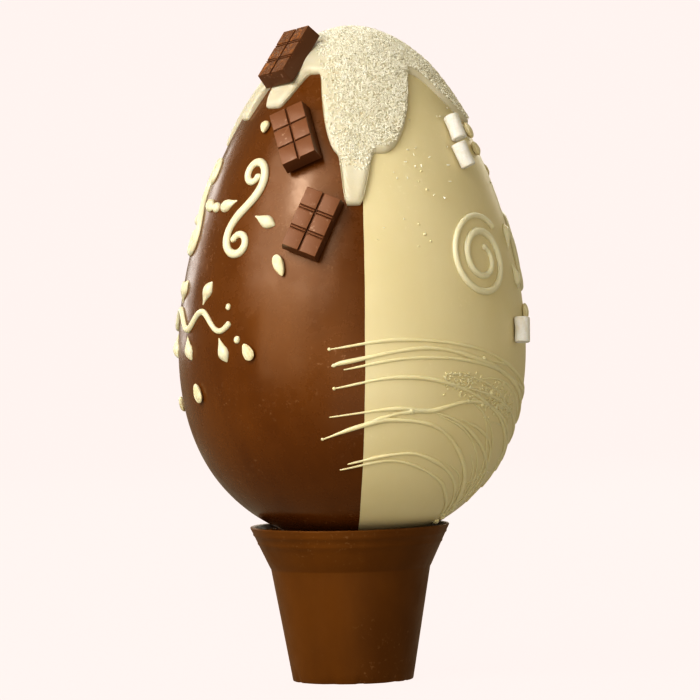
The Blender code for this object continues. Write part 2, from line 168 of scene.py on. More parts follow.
class Shade:
    """One material's node tree, with one method that makes every node."""

    def __init__(self, name: str) -> None:
        """Start a material that holds only its Principled shader and its output.

        Args:
            name: The material's name.
        """
        self.material = bpy.data.materials.new(name)
        self.material["slot"] = name
        self.material.use_nodes = True
        self.tree = self.material.node_tree
        self.shader = self.tree.nodes["Principled BSDF"]
        self.coordinates = self.node("ShaderNodeTexCoord", {}).outputs["Object"]

    def node(self, kind: str, settings: Mapping[str, Any], *values: Any, **named: Any) -> bpy.types.Node:
        """Add one node, set its options, then fill its inputs.

        Args:
            kind: Blender's type name of the node.
            settings: Options set before the inputs.
            *values: Values or links of the first inputs, in order; None leaves one alone.
            **named: Values or links by input name, with _ for a space.

        Returns:
            The new node.
        """
        made = self.tree.nodes.new(kind)
        for option, value in settings.items():
            setattr(made, option, value)
        shown = [socket for socket in made.inputs if socket.enabled]
        for socket, value in zip(shown, values):
            self.feed(socket, value)
        for name, value in named.items():
            self.feed(made.inputs[name.replace("_", " ")], value)
        return made

    def feed(self, socket: bpy.types.NodeSocket, value: Any) -> None:
        """Link a signal or socket to an input, or set a plain value on it.

        Args:
            socket: The input.
            value: A signal, an output socket, a number, a colour, or None to leave it.
        """
        if value is None:
            return
        if isinstance(value, Signal):
            self.tree.links.new(value.socket, socket)
        elif isinstance(value, bpy.types.NodeSocket):
            self.tree.links.new(value, socket)
        elif isinstance(value, tuple) and len(value) == 3 and socket.type == "RGBA":
            socket.default_value = (*value, 1.0)
        else:
            socket.default_value = value

    def attribute(self, name: str) -> Signal:
        """A number stored on the mesh; it is nought where the mesh has none."""
        return Signal(self, self.node("ShaderNodeAttribute", {"attribute_name": name}).outputs["Fac"])

    def stretched(self, scale: Colour) -> bpy.types.NodeSocket:
        """Object coordinates stretched along the axes.

        Args:
            scale: Factor along X, Y and Z.

        Returns:
            The stretched coordinates.
        """
        return self.node("ShaderNodeMapping", {}, Vector=self.coordinates, Scale=scale).outputs[0]

    def cloud(self, scale: float, detail: float = 3.0, roughness: float = 0.55, vector: Any = None) -> Signal:
        """Soft noise in the object's own space.

        Args:
            scale: Lumps for each metre.
            detail: Number of finer octaves.
            roughness: Share that each finer octave keeps.
            vector: Coordinates, where they aren't the plain ones.

        Returns:
            The noise, about 0.3 to 0.7 for the most part.
        """
        where = self.coordinates if vector is None else vector
        made = self.node("ShaderNodeTexNoise", {}, Vector=where, Scale=scale, Detail=detail, Roughness=roughness)
        return Signal(self, made.outputs["Fac"])

    def cells(self, scale: float, feature: str = "F1") -> Signal:
        """Distance to scattered points in the object's own space.

        Args:
            scale: Points for each metre.
            feature: Blender's name of the distance that is read.

        Returns:
            The distance in cells.
        """
        settings = {"feature": feature}
        made = self.node("ShaderNodeTexVoronoi", settings, Vector=self.coordinates, Scale=scale)
        return Signal(self, made.outputs["Distance"])

    def mix(self, share: Any, first: Any, second: Any, blend: Blend = Blend.MIX) -> bpy.types.NodeSocket:
        """Lay one colour over another.

        Args:
            share: How much of the second shows.
            first: The colour below.
            second: The colour above.
            blend: How the two meet.

        Returns:
            The mixed colour.
        """
        made = self.node("ShaderNodeMix", {"data_type": "RGBA", "blend_type": blend.value})
        inputs = [socket for socket in made.inputs if socket.enabled]
        for socket, value in zip(inputs, (share, first, second)):
            self.feed(socket, value)
        return [socket for socket in made.outputs if socket.enabled][0]

    def dress(self, colour: Any, roughness: Any, fixed: Mapping[str, Any]) -> None:
        """Give the shader its colour, its roughness and its constant values.

        Args:
            colour: Base colour.
            roughness: Roughness.
            fixed: Input name and constant value of every further socket.
        """
        self.feed(self.shader.inputs["Base Color"], colour)
        self.feed(self.shader.inputs["Roughness"], roughness)
        for name, value in fixed.items():
            self.feed(self.shader.inputs[name], value)

    def emboss(self, height: Signal, depth: float, strength: float = 1.0) -> None:
        """Raise the surface by a height that is one at its full depth.

        Args:
            height: Relief between zero and one.
            depth: Full depth in metres.
            strength: How strongly the relief turns the surface.
        """
        made = self.node("ShaderNodeBump", {}, Strength=strength, Distance=depth, Height=height)
        self.feed(self.shader.inputs["Normal"], made.outputs[0])


# ---------------------------------------------------------------------------------------------
# Finishes
# ---------------------------------------------------------------------------------------------

@dataclass(frozen=True)
class MouldedChocolate:
    """Chocolate taken from a smooth mould: satin, faintly cloudy, with small scuffs and specks; on the bars, painted
    shade darkens the flanks.
    """

    name: str
    light: Colour
    deep: Colour
    bloom: Colour
    bloom_share: float
    roughness: float
    scuff: float
    pit_depth: float
    gleam: Colour = (1.0, 1.0, 1.0)
    translucence: float = 0.0
    glow: Colour = (0.6, 0.3, 0.1)
    index: float = 1.46
    crumb: Colour = (0.36, 0.135, 0.035)

    def material(self) -> bpy.types.Material:
        """Build the finish.

        Returns:
            The material.
        """
        shade = Shade(self.name)
        clouds = shade.cloud(14.0, 4.0).ramp(0.32, 0.68)
        streaks = shade.cloud(36.0, 3.0, vector=shade.stretched((1.0, 1.0, 0.22))).ramp(0.4, 0.75)
        smears = shade.cloud(9.0, 6.0, 0.7, vector=shade.stretched((1.0, 1.0, 0.35))).ramp(0.35, 0.65)
        colour = shade.mix(clouds * 0.4 + streaks * 0.25 + smears * 0.35, self.light, self.deep)
        if self.name == CRUMBS_AND_FLANK_SHADE_FINISH:
            crumbs = shade.attribute(CRUMB_ATTRIBUTE) * shade.cloud(300.0, 4.0, 0.65).ramp(0.4, 0.62)
            colour = shade.mix(crumbs * 0.9, colour, self.crumb)
            # Painted shade: every bar flank is darkened in colour, as if it stood in shade.
            painted_flank_shade = shade.attribute(FLANK_SHADE_ATTRIBUTE) * 0.55
            colour = shade.mix(painted_flank_shade, colour, tuple(part * 0.35 for part in self.deep))
        dust = shade.cloud(420.0, 2.0).ramp(0.6, 0.75) * shade.cloud(22.0, 2.0).ramp(0.45, 0.7)
        colour = shade.mix(dust * self.bloom_share, colour, self.bloom)
        wear = shade.cloud(60.0, 5.0, 0.65).ramp(0.35, 0.7, -1.0, 1.0)
        scratches = shade.cloud(240.0, 2.0, vector=shade.stretched((1.0, 1.0, 0.1))).ramp(0.62, 0.8)
        roughness = self.roughness + wear * self.scuff + scratches * self.scuff + dust * 0.1
        shade.dress(colour, roughness.held(), {
            "IOR": self.index, "Subsurface Weight": self.translucence, "Subsurface Radius": self.glow,
            "Subsurface Scale": 2 * MM, "Specular Tint": self.gleam,
        })
        ripples = shade.cloud(30.0, 2.0) * 0.6 + shade.cloud(12.0, 2.0) * 1.2
        pits = shade.cells(330.0).ramp(0.0, 0.16)
        grain = shade.cloud(900.0, 2.0)
        relief = ripples * 0.85 + pits * 0.06 + grain * 0.09
        if self.name == CRUMBS_AND_FLANK_SHADE_FINISH:
            relief = relief + crumbs * 4.0
        shade.emboss(relief, self.pit_depth)
        return shade.material


@dataclass(frozen=True)
class PouredIcing:
    """White icing poured warm: soft sheen, slightly cloudy, faint ripples."""

    name: str
    light: Colour
    warm: Colour
    roughness: float

    def material(self) -> bpy.types.Material:
        """Build the finish.

        Returns:
            The material.
        """
        shade = Shade(self.name)
        clouds = shade.cloud(26.0, 3.0).ramp(0.35, 0.68)
        colour = shade.mix(clouds, self.light, self.warm)
        roughness = self.roughness + shade.cloud(80.0, 3.0).ramp(0.3, 0.7, -0.06, 0.06)
        shade.dress(colour, roughness, {
            "IOR": 1.45, "Subsurface Weight": 0.25, "Subsurface Radius": (1.0, 0.7, 0.4),
            "Subsurface Scale": 2 * MM,
        })
        relief = shade.cloud(70.0, 2.0) * 0.8 + shade.cloud(600.0, 2.0) * 0.2
        shade.emboss(relief, 0.35 * MM)
        return shade.material


@dataclass(frozen=True)
class DrySugar:
    """Dry sugary surface, as on marshmallow, coconut and puffed grain: matt with a fine crust."""

    name: str
    light: Colour
    shadow: Colour
    crust_scale: float
    crust_depth: float
    translucence: float

    def material(self) -> bpy.types.Material:
        """Build the finish.

        Returns:
            The material.
        """
        shade = Shade(self.name)
        patches = shade.cloud(self.crust_scale / 5, 3.0).ramp(0.35, 0.7)
        crust = shade.cells(self.crust_scale)
        colour = shade.mix(patches * 0.7 + crust.ramp(0.3, 0.9) * 0.3, self.light, self.shadow)
        roughness = 0.68 + crust.ramp(0.1, 0.7, -0.12, 0.12)
        shade.dress(colour, roughness, {
            "Subsurface Weight": self.translucence, "Subsurface Radius": (1.0, 0.8, 0.6),
            "Subsurface Scale": 1.5 * MM, "Specular IOR Level": 0.35,
        })
        shade.emboss(crust * 0.6 + shade.cloud(self.crust_scale * 2, 2.0) * 0.4, self.crust_depth)
        return shade.material


@dataclass(frozen=True)
class StudioPaper:
    """Seamless pale paper that glows a little, so that it stays even behind the egg."""

    tint: Colour = (1.0, 0.903, 0.878)
    glow: float = 0.705
    body: float = 0.012

    def material(self) -> bpy.types.Material:
        """Build the finish.

        Returns:
            The material.
        """
        shade = Shade("studio_paper")
        fibre = shade.cloud(300.0, 2.0).ramp(0.3, 0.7)
        colour = shade.mix(fibre * 0.2, tuple(part * self.body for part in self.tint), (0.055, 0.05, 0.047))
        shade.dress(colour, 0.9, {
            "Emission Color": self.tint, "Emission Strength": self.glow, "Specular IOR Level": 0.0,
        })
        return shade.material


MILK = MouldedChocolate(
    "milk_chocolate", (0.156, 0.053, 0.0065), (0.094, 0.028, 0.0032), (0.4, 0.23, 0.13), 0.35, 0.27, 0.08, 0.34 * MM,
    gleam=(1.0, 0.74, 0.55), index=1.54,
)
WHITE = MouldedChocolate(
    "white_chocolate", (0.735, 0.645, 0.415), (0.685, 0.59, 0.35), (0.85, 0.76, 0.55), 0.3, 0.42, 0.04, 0.15 * MM,
    translucence=0.12, glow=(1.0, 0.7, 0.35),
)
POT = MouldedChocolate(
    "pot_chocolate", (0.158, 0.058, 0.0075), (0.098, 0.034, 0.0038), (0.32, 0.18, 0.09), 0.35, 0.45, 0.08, 0.4 * MM,
    gleam=(1.0, 0.72, 0.48), index=1.38,
)
BAR = MouldedChocolate(
    "bar_chocolate", (0.225, 0.095, 0.043), (0.165, 0.066, 0.027), (0.5, 0.33, 0.24), 0.7, 0.36, 0.08, 0.3 * MM,
    gleam=(1.0, 0.84, 0.72),
)
PIPED = MouldedChocolate(
    "piped_white", (0.76, 0.715, 0.53), (0.71, 0.65, 0.45), (0.92, 0.86, 0.66), 0.2, 0.4, 0.05, 0.12 * MM,
    translucence=0.2, glow=(1.0, 0.75, 0.4),
)
DRIZZLE = MouldedChocolate(
    "drizzle_white", (0.76, 0.69, 0.45), (0.71, 0.62, 0.38), (0.9, 0.83, 0.62), 0.2, 0.34, 0.05, 0.1 * MM,
    translucence=0.2, glow=(1.0, 0.75, 0.4),
)
ICING = PouredIcing("icing_white", (0.64, 0.59, 0.46), (0.605, 0.545, 0.4), 0.44)
MALLOW = DrySugar("marshmallow", (0.76, 0.745, 0.72), (0.7, 0.66, 0.58), 1100.0, 0.12 * MM, 0.3)
GRAIN = DrySugar("puffed_grain", (0.8, 0.73, 0.52), (0.68, 0.59, 0.36), 800.0, 0.15 * MM, 0.2)
COCONUT = DrySugar("coconut", (0.93, 0.9, 0.79), (0.76, 0.71, 0.56), 1500.0, 0.05 * MM, 0.2)


# ---------------------------------------------------------------------------------------------
# Modelling helpers
# ---------------------------------------------------------------------------------------------

def deselect() -> None:
    """Leave edit mode and deselect everything."""
    if bpy.context.mode != "OBJECT":
        bpy.ops.object.mode_set(mode="OBJECT")
    bpy.ops.object.select_all(action="DESELECT")


def take(name: str) -> bpy.types.Object:
    """Name the primitive that was just added.

    Args:
        name: The piece's name.

    Returns:
        The piece.
    """
    piece = bpy.context.active_object
    piece.name = name
    piece.data.name = name
    return piece


def ball(name: str, segments: int, rings: int) -> bpy.types.Object:
    """Add a ball of radius one, the start of most pieces.

    Args:
        name: The piece's name.
        segments: Faces round Z.
        rings: Faces from pole to pole.

    Returns:
        The ball.
    """
    deselect()
    bpy.ops.mesh.primitive_uv_sphere_add(segments=segments, ring_count=rings, radius=1.0)
    return take(name)


def points_of(piece: bpy.types.Object) -> Array:
    """A mesh's vertices.

    Args:
        piece: The piece.

    Returns:
        An array with a row of x, y and z for each vertex.
    """
    flat = np.empty(len(piece.data.vertices) * 3)
    piece.data.vertices.foreach_get("co", flat)
    return flat.reshape(-1, 3)


def place_points(piece: bpy.types.Object, points: Array) -> None:
    """Move a mesh's vertices.

    Args:
        piece: The piece.
        points: A row of x, y and z for each vertex.
    """
    piece.data.vertices.foreach_set("co", points.astype(np.float32).ravel())
    piece.data.update()


def apply_all(piece: bpy.types.Object) -> None:
    """Apply every modifier of a piece, first to last.

    Args:
        piece: The piece.
    """
    deselect()
    piece.select_set(True)
    bpy.context.view_layer.objects.active = piece
    for modifier in list(piece.modifiers):
        bpy.ops.object.modifier_apply(modifier=modifier.name)


def outwards(piece: bpy.types.Object) -> None:
    """Merge a mesh's doubles and turn its faces outwards.

    Args:
        piece: The piece.
    """
    deselect()
    piece.select_set(True)
    bpy.context.view_layer.objects.active = piece
    bpy.ops.object.mode_set(mode="EDIT")
    bpy.ops.mesh.select_all(action="SELECT")
    bpy.ops.mesh.remove_doubles(threshold=0.005 * MM)
    bpy.ops.mesh.normals_make_consistent(inside=False)
    bpy.ops.object.mode_set(mode="OBJECT")


def join(name: str, pieces: Sequence[bpy.types.Object]) -> bpy.types.Object:
    """Join pieces of one kind into one mesh.

    Args:
        name: The joined piece's name.
        pieces: The pieces, all at the origin.

    Returns:
        The joined piece.
    """
    deselect()
    for piece in pieces:
        piece.select_set(True)
    bpy.context.view_layer.objects.active = pieces[0]
    bpy.ops.object.join()
    return take(name)


def smooth(piece: bpy.types.Object, angle: float = 40.0) -> None:
    """Shade a piece smooth, apart from edges sharper than an angle.

    Args:
        piece: The piece.
        angle: The angle in degrees.
    """
    deselect()
    piece.select_set(True)
    bpy.context.view_layer.objects.active = piece
    bpy.ops.object.shade_smooth_by_angle(angle=radians(angle))


def hand_over(piece: bpy.types.Object, material: bpy.types.Material, nodes: Sequence[str] = ()) -> None:
    """Dress a finished piece and set it on the part's body in place of its solids.

    Args:
        piece: The finished piece, at the origin.
        material: Its material, which carries the name of the record's slot.
        nodes: The solids that it stands for.
    """
    piece.data.materials.clear()
    piece.data.materials.append(material)
    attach(piece, BODY)
    if nodes:
        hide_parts(*nodes)
    LOG.info("%s: %d faces, stands for %s", piece.name, len(piece.data.polygons), ", ".join(nodes) or "nothing")


def scatter(piece: bpy.types.Object, centres: Array, frames: Sequence[Array], sizes: Array) -> None:
    """Turn a small shape into many copies of itself, all in one mesh.

    Args:
        piece: The shape, at the origin.
        centres: Where the copies go.
        frames: The copies' own X, Y and Z directions.
        sizes: The copies' sizes along them.
    """
    shape = points_of(piece)
    corners = [list(face.vertices) for face in piece.data.polygons]
    points = np.repeat(centres[:, None, :], len(shape), axis=1)
    for axis, frame in enumerate(frames):
        points += shape[None, :, axis:axis + 1] * (sizes[:, axis:axis + 1] * frame)[:, None, :]
    faces = [[corner + start * len(shape) for corner in face] for start in range(len(centres)) for face in corners]
    mesh = bpy.data.meshes.new(piece.name)
    mesh.from_pydata(points.reshape(-1, 3).tolist(), [], faces)
    old = piece.data
    piece.data = mesh
    bpy.data.meshes.remove(old)


def waver(points: Array, scale: float, seed: float) -> Array:
    """Smooth unevenness, about -1 to 1, that is the same at the same place.

    Args:
        points: Rows of x, y and z.
        scale: Waves for each metre.
        seed: Shifts the pattern.

    Returns:
        One value for each row.
    """
    shift = Vector((seed, seed * 1.7, seed * 0.3))
    return np.array([noise.noise(Vector(point) * scale + shift) for point in points])


def smooth_route(marks: Sequence[tuple[float, float]], count: int) -> Array:
    """Carry a smooth curve through a few marks.

    Args:
        marks: The marks, two numbers each.
        count: Number of points wanted.

    Returns:
        The curve's points, evenly spread over the marks.
    """
    known = np.array(marks, float)
    ends = np.vstack([2 * known[0] - known[1], known, 2 * known[-1] - known[-2]])
    spread = np.linspace(0, len(known) - 1, count)
    index = np.minimum(spread.astype(int), len(known) - 2)
    part = (spread - index)[:, None]
    before, start, end, after = (ends[index + step] for step in range(4))
    return 0.5 * (
        2 * start + (end - before) * part + (2 * before - 5 * start + 4 * end - after) * part ** 2
        + (3 * start - before - 3 * end + after) * part ** 3
    )


# ---------------------------------------------------------------------------------------------
# The egg's form
# ---------------------------------------------------------------------------------------------

@dataclass(frozen=True)
class EggForm:
    """The turned egg, pointed end up, leaning a little on its foot in the pot."""

    foot: Colour = (1.1 * MM, 0.0, 81.8 * MM)
    lean: float = radians(1.3)
    height: float = 308 * MM
    girth: float = 101 * MM
    taper: float = 0.246
    fullness: float = 0.05

    def radius(self, height: Array) -> Array:
        """Radius at heights above the lowest point.

        Args:
            height: Heights in metres.

        Returns:
            Radii in metres.
        """
        place = 2 * np.asarray(height) / self.height - 1
        girth = self.girth * (1 - self.taper * place + self.fullness * place * place)
        return girth * np.sqrt(np.maximum(0.0, 1 - place * place))

    def slope(self, height: Array) -> Array:
        """Change of radius for each height, taken a little inside the poles.

        Args:
            height: Heights in metres.

        Returns:
            Slopes.
        """
        step = 0.05 * MM
        middle = np.clip(height, 2 * step, self.height - 2 * step)
        return (self.radius(middle + step) - self.radius(middle - step)) / (2 * step)

    def turned(self, vectors: Array) -> Array:
        """Carry directions from the egg's own frame into the part's frame.

        Args:
            vectors: Rows of x, y and z.

        Returns:
            The turned rows.
        """
        return vectors @ np.array(Matrix.Rotation(self.lean, 3, "Y")).T

    def axes(self, azimuth: Array, height: Array) -> tuple[Array, Array, Array, Array]:
        """Points on the skin, with the sideways, upward and outward directions there.

        Args:
            azimuth: Azimuths in radians.
            height: Heights in metres.

        Returns:
            Points, sideways, upward and outward directions in the part's frame.
        """
        azimuth, height = np.broadcast_arrays(np.asarray(azimuth, float), np.asarray(height, float))
        zero = np.zeros_like(azimuth)
        side = np.stack([np.cos(azimuth), np.sin(azimuth), zero], -1)
        radial = np.stack([np.sin(azimuth), -np.cos(azimuth), zero], -1)
        upright = np.array([0.0, 0.0, 1.0])
        points = radial * self.radius(height)[..., None] + upright * height[..., None]
        up = radial * self.slope(height)[..., None] + upright
        up /= np.linalg.norm(up, axis=-1, keepdims=True)
        out = np.cross(side, up)
        return self.turned(points) + np.array(self.foot), self.turned(side), self.turned(up), self.turned(out)

    def lay(self, azimuth: Array, height: Array, lift: Array | float = 0.0) -> Array:
        """Points at a lift above the skin.

        Args:
            azimuth: Azimuths in radians.
            height: Heights in metres.
            lift: Lifts in metres.

        Returns:
            Points in the part's frame.
        """
        points, _, _, out = self.axes(azimuth, height)
        return points + out * np.asarray(lift)[..., None]

    def seat(
        self, azimuth: float, height: float, roll: float = 0.0, tip: float = 0.0, lean: float = 0.0, lift: float = 0.0,
    ) -> Matrix:
        """Matrix that sets a piece's XY plane on the skin.

        Args:
            azimuth: Azimuth in degrees.
            height: Height in metres.
            roll: Turn of the piece's Y from upright, in degrees.
            tip: Tilt about the piece's X, in degrees.
            lean: Tilt about the piece's Y, in degrees.
            lift: Lift above the skin in metres.

        Returns:
            The matrix.
        """
        point, side, up, out = (Vector(row) for row in self.axes(radians(azimuth), height))
        base = Matrix((side, up, out)).transposed().to_4x4()
        turn = Matrix.Rotation(-radians(roll), 4, "Z")
        tilt = Matrix.Rotation(radians(tip), 4, "X") @ Matrix.Rotation(radians(lean), 4, "Y")
        return Matrix.Translation(point + out * lift) @ base @ turn @ tilt

    def polar(self, height: Array) -> Array:
        """Angle from the top that gives a height."""
        return np.arccos(np.clip(2 * np.asarray(height) / self.height - 1, -1, 1))

    def height_at(self, polar: Array) -> Array:
        """Height at an angle from the top."""
        return self.height * (1 + np.cos(polar)) / 2


EGG = EggForm()


# ---------------------------------------------------------------------------------------------
# Sub-assemblies
# ---------------------------------------------------------------------------------------------

@dataclass
class EggShell:
    """The two moulded halves, met along a seam that wanders by a hair."""

    segments: int = 224
    rings: int = 160
    dents: float = 0.22 * MM
    seam_wander: float = 0.35 * MM
    seam_gap: float = 0.02 * MM

    def half(self, name: str, direction: int) -> bpy.types.Object:
        """Model one half.

        Args:
            name: The piece's name.
            direction: -1 for the milk half, 1 for the white half.

        Returns:
            The half.
        """
        piece = ball(name, self.segments, self.rings)
        bpy.ops.object.mode_set(mode="EDIT")
        bpy.ops.mesh.select_all(action="SELECT")
        bpy.ops.mesh.bisect(
            plane_co=(0.0, 0.0, 0.0), plane_no=(-direction, 0.0, 0.0), use_fill=False, clear_outer=True,
        )
        bpy.ops.object.mode_set(mode="OBJECT")
        unit = points_of(piece)
        on_seam = np.abs(unit[:, 0]) < 1e-4
        azimuth = np.arctan2(unit[:, 0], -unit[:, 1])
        height = EGG.height_at(np.arccos(np.clip(unit[:, 2], -1, 1)))
        points = EGG.lay(azimuth, height)
        lift = self.dents * (waver(points, 9.0, 3.1) + 0.5 * waver(points, 24.0, 8.4))
        points = EGG.lay(azimuth, height, lift)
        along = points * np.array([0.0, 1.0, 1.0])
        wander = self.seam_wander * waver(along, 45.0, 1.3) + direction * self.seam_gap
        points[on_seam, 0] += wander[on_seam]
        place_points(piece, points)
        bpy.ops.object.mode_set(mode="EDIT")
        bpy.ops.mesh.select_all(action="DESELECT")
        bpy.ops.mesh.select_mode(type="EDGE")
        bpy.ops.mesh.select_non_manifold()
        bpy.ops.mesh.edge_face_add()
        bpy.ops.object.mode_set(mode="OBJECT")
        smooth(piece)
        return piece

    def build(self) -> None:
        """Model and dress both halves."""
        hand_over(self.half("milk_shell", -1), MILK.material(), ["egg_milk_half"])
        hand_over(self.half("white_shell", 1), WHITE.material(), ["egg_white_half"])


@dataclass
class FlowerPot:
    """Turned pot with a flared rim band, a thick lip and the filling that the egg sits in."""

    sides: int = 160
    base_radius: float = 36.2 * MM
    waist_radius: float = 47.8 * MM
    waist_height: float = 68.3 * MM
    ledge: float = 0.6 * MM
    rim_radius: float = 59.8 * MM
    wall: float = 3.5 * MM
    fill_depth: float = 4.5 * MM
    edge: float = 0.7 * MM
    rib: float = 0.35 * MM
    wobble: float = 0.3 * MM
    chips: float = 1.3 * MM
    seat_gap: float = 0.4 * MM
    crumb_count: int = 90

    def outline(self) -> list[tuple[float, float]]:
        """Radius and height of each ring from the base, up the outside and down inside.

        Returns:
            The rings.
        """
        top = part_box("pot")[1].z
        band = top - self.waist_height
        flare = (self.rim_radius - self.waist_radius) / band

        def band_radius(height: float) -> float:
            """Outer radius of the band at a height."""
            return self.waist_radius + self.ledge + (height - self.waist_height) * flare * (1 - self.ledge / band)

        rings = [(self.base_radius - self.edge, 0.0), (self.base_radius - 0.3 * self.edge, 0.3 * self.edge)]
        steps = 14
        for step in range(steps + 1):
            share = step / steps
            height = self.edge + (self.waist_height - 2 * self.ledge - self.edge) * share
            rings.append((self.base_radius + (self.waist_radius - self.base_radius) * share, height))
        rings.append((self.waist_radius + 0.3 * self.ledge, self.waist_height - self.ledge))
        rings.append((self.waist_radius + self.ledge, self.waist_height))
        for share, bulge in ((0.2, 0), (0.4, 0), (0.54, 0), (0.58, 1), (0.62, 0), (0.76, 0), (0.8, 1.2), (0.84, 0)):
            height = self.waist_height + share * band
            rings.append((band_radius(height) + bulge * self.rib, height))
        inner = self.rim_radius - self.wall
        rings += [
            (self.rim_radius - 0.1 * self.edge, top - 1.4 * self.edge), (self.rim_radius, top - 0.7 * self.edge),
            (self.rim_radius - 0.4 * self.edge, top - 0.1 * self.edge), (self.rim_radius - self.edge, top),
            (inner + self.edge, top), (inner + 0.2 * self.edge, top - 0.3 * self.edge),
            (inner - 0.3 * self.edge, top - self.edge),
        ]
        floor = top - self.fill_depth
        rings += [(inner - flare * self.fill_depth, floor + 0.6 * MM), (inner - 2.4 * MM, floor)]
        for radius in (43 * MM, 38 * MM, 30 * MM, 20 * MM, 10 * MM):
            under = EGG.foot[2] + self.under_egg(radius) - self.seat_gap
            rings.append((radius, min(floor, under)))
        return rings

    @staticmethod
    def under_egg(radius: float) -> float:
        """Height of the egg's underside above its lowest point at a radius.

        Args:
            radius: Distance from the egg's axis.

        Returns:
            The height.
        """
        heights = np.linspace(0.0, 30 * MM, 300)
        return float(np.interp(radius, EGG.radius(heights), heights))

    def build(self) -> None:
        """Model and dress the pot."""
        rings = self.outline()
        deselect()
        bpy.ops.mesh.primitive_circle_add(vertices=self.sides, radius=rings[0][0], fill_type="NGON")
        piece = take("pot_body")
        bpy.ops.object.mode_set(mode="EDIT")
        bpy.ops.mesh.select_mode(type="EDGE")
        bpy.ops.mesh.select_all(action="SELECT")
        bpy.ops.mesh.inset(thickness=3 * MM)
        bpy.ops.mesh.select_all(action="DESELECT")
        bpy.ops.object.mode_set(mode="OBJECT")
        for edge in piece.data.edges:
            ends = [piece.data.vertices[index].co for index in edge.vertices]
            edge.select = all(hypot(end.x, end.y) > rings[0][0] - 0.1 * MM for end in ends)
        bpy.ops.object.mode_set(mode="EDIT")
        for (old_radius, old_height), (radius, height) in zip(rings, rings[1:]):
            bpy.ops.mesh.extrude_region_move(TRANSFORM_OT_translate={"value": (0.0, 0.0, height - old_height)})
            factor = radius / old_radius
            bpy.ops.transform.resize(value=(factor, factor, 1.0), center_override=(0.0, 0.0, height))
        bpy.ops.mesh.edge_face_add()
        bpy.ops.object.mode_set(mode="OBJECT")
        points = points_of(piece)
        uneven = self.wobble * waver(points * np.array([1.0, 1.0, 0.6]), 26.0, 5.7)
        reach = np.hypot(points[:, 0], points[:, 1])
        share = np.clip(points[:, 2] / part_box("pot")[1].z, 0.0, 1.0) * (reach > 0.8 * self.base_radius)
        points[:, :2] *= (1 - share * np.abs(uneven) / np.maximum(reach, MM))[:, None]
        sole = (points[:, 2] < 1.2 * self.edge) & (reach > 0.9 * self.base_radius)
        bite = np.clip(waver(points[sole], 150.0, 9.2) * 1.6 - 0.25, 0.0, 1.0) * self.chips
        points[sole, :2] *= (1 - bite / reach[sole])[:, None]
        points[sole, 2] += 0.8 * bite
        lip = points[:, 2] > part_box("pot")[1].z - 2 * self.edge
        points[lip, 2] -= np.abs(waver(points[lip], 60.0, 2.2)) * self.wobble
        place_points(piece, points)
        outwards(piece)
        smooth(piece, 50.0)
        material = POT.material()
        hand_over(piece, material, ["pot"])
        self.crumbs(material)

    def crumbs(self, material: bpy.types.Material) -> None:
        """Scatter a few crumbs of the pot's chocolate on its filling, round the egg's foot.

        Args:
            material: The pot's finish.
        """
        rng = np.random.default_rng(31)
        count = self.crumb_count
        piece = ball("pot_crumbs", 10, 7)
        points = points_of(piece)
        place_points(piece, points * (1 + 0.35 * waver(points, 1.5, 8.1))[:, None])
        angle = rng.uniform(0.0, tau, count)
        reach = self.rim_radius - self.wall - rng.uniform(2.0, 7.0, count) * MM
        sizes = rng.uniform(0.5, 1.5, (count, 3)) * MM
        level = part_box("pot")[1].z - self.fill_depth + 0.5 * sizes[:, 2]
        centres = np.stack([reach * np.cos(angle), reach * np.sin(angle), level], -1)
        turn = rng.uniform(0.0, tau, count)
        first = np.stack([np.cos(turn), np.sin(turn), 0 * turn], -1)
        third = np.tile([0.0, 0.0, 1.0], (count, 1))
        scatter(piece, centres, (first, np.cross(third, first), third), sizes)
        smooth(piece, 50.0)
        hand_over(piece, material)


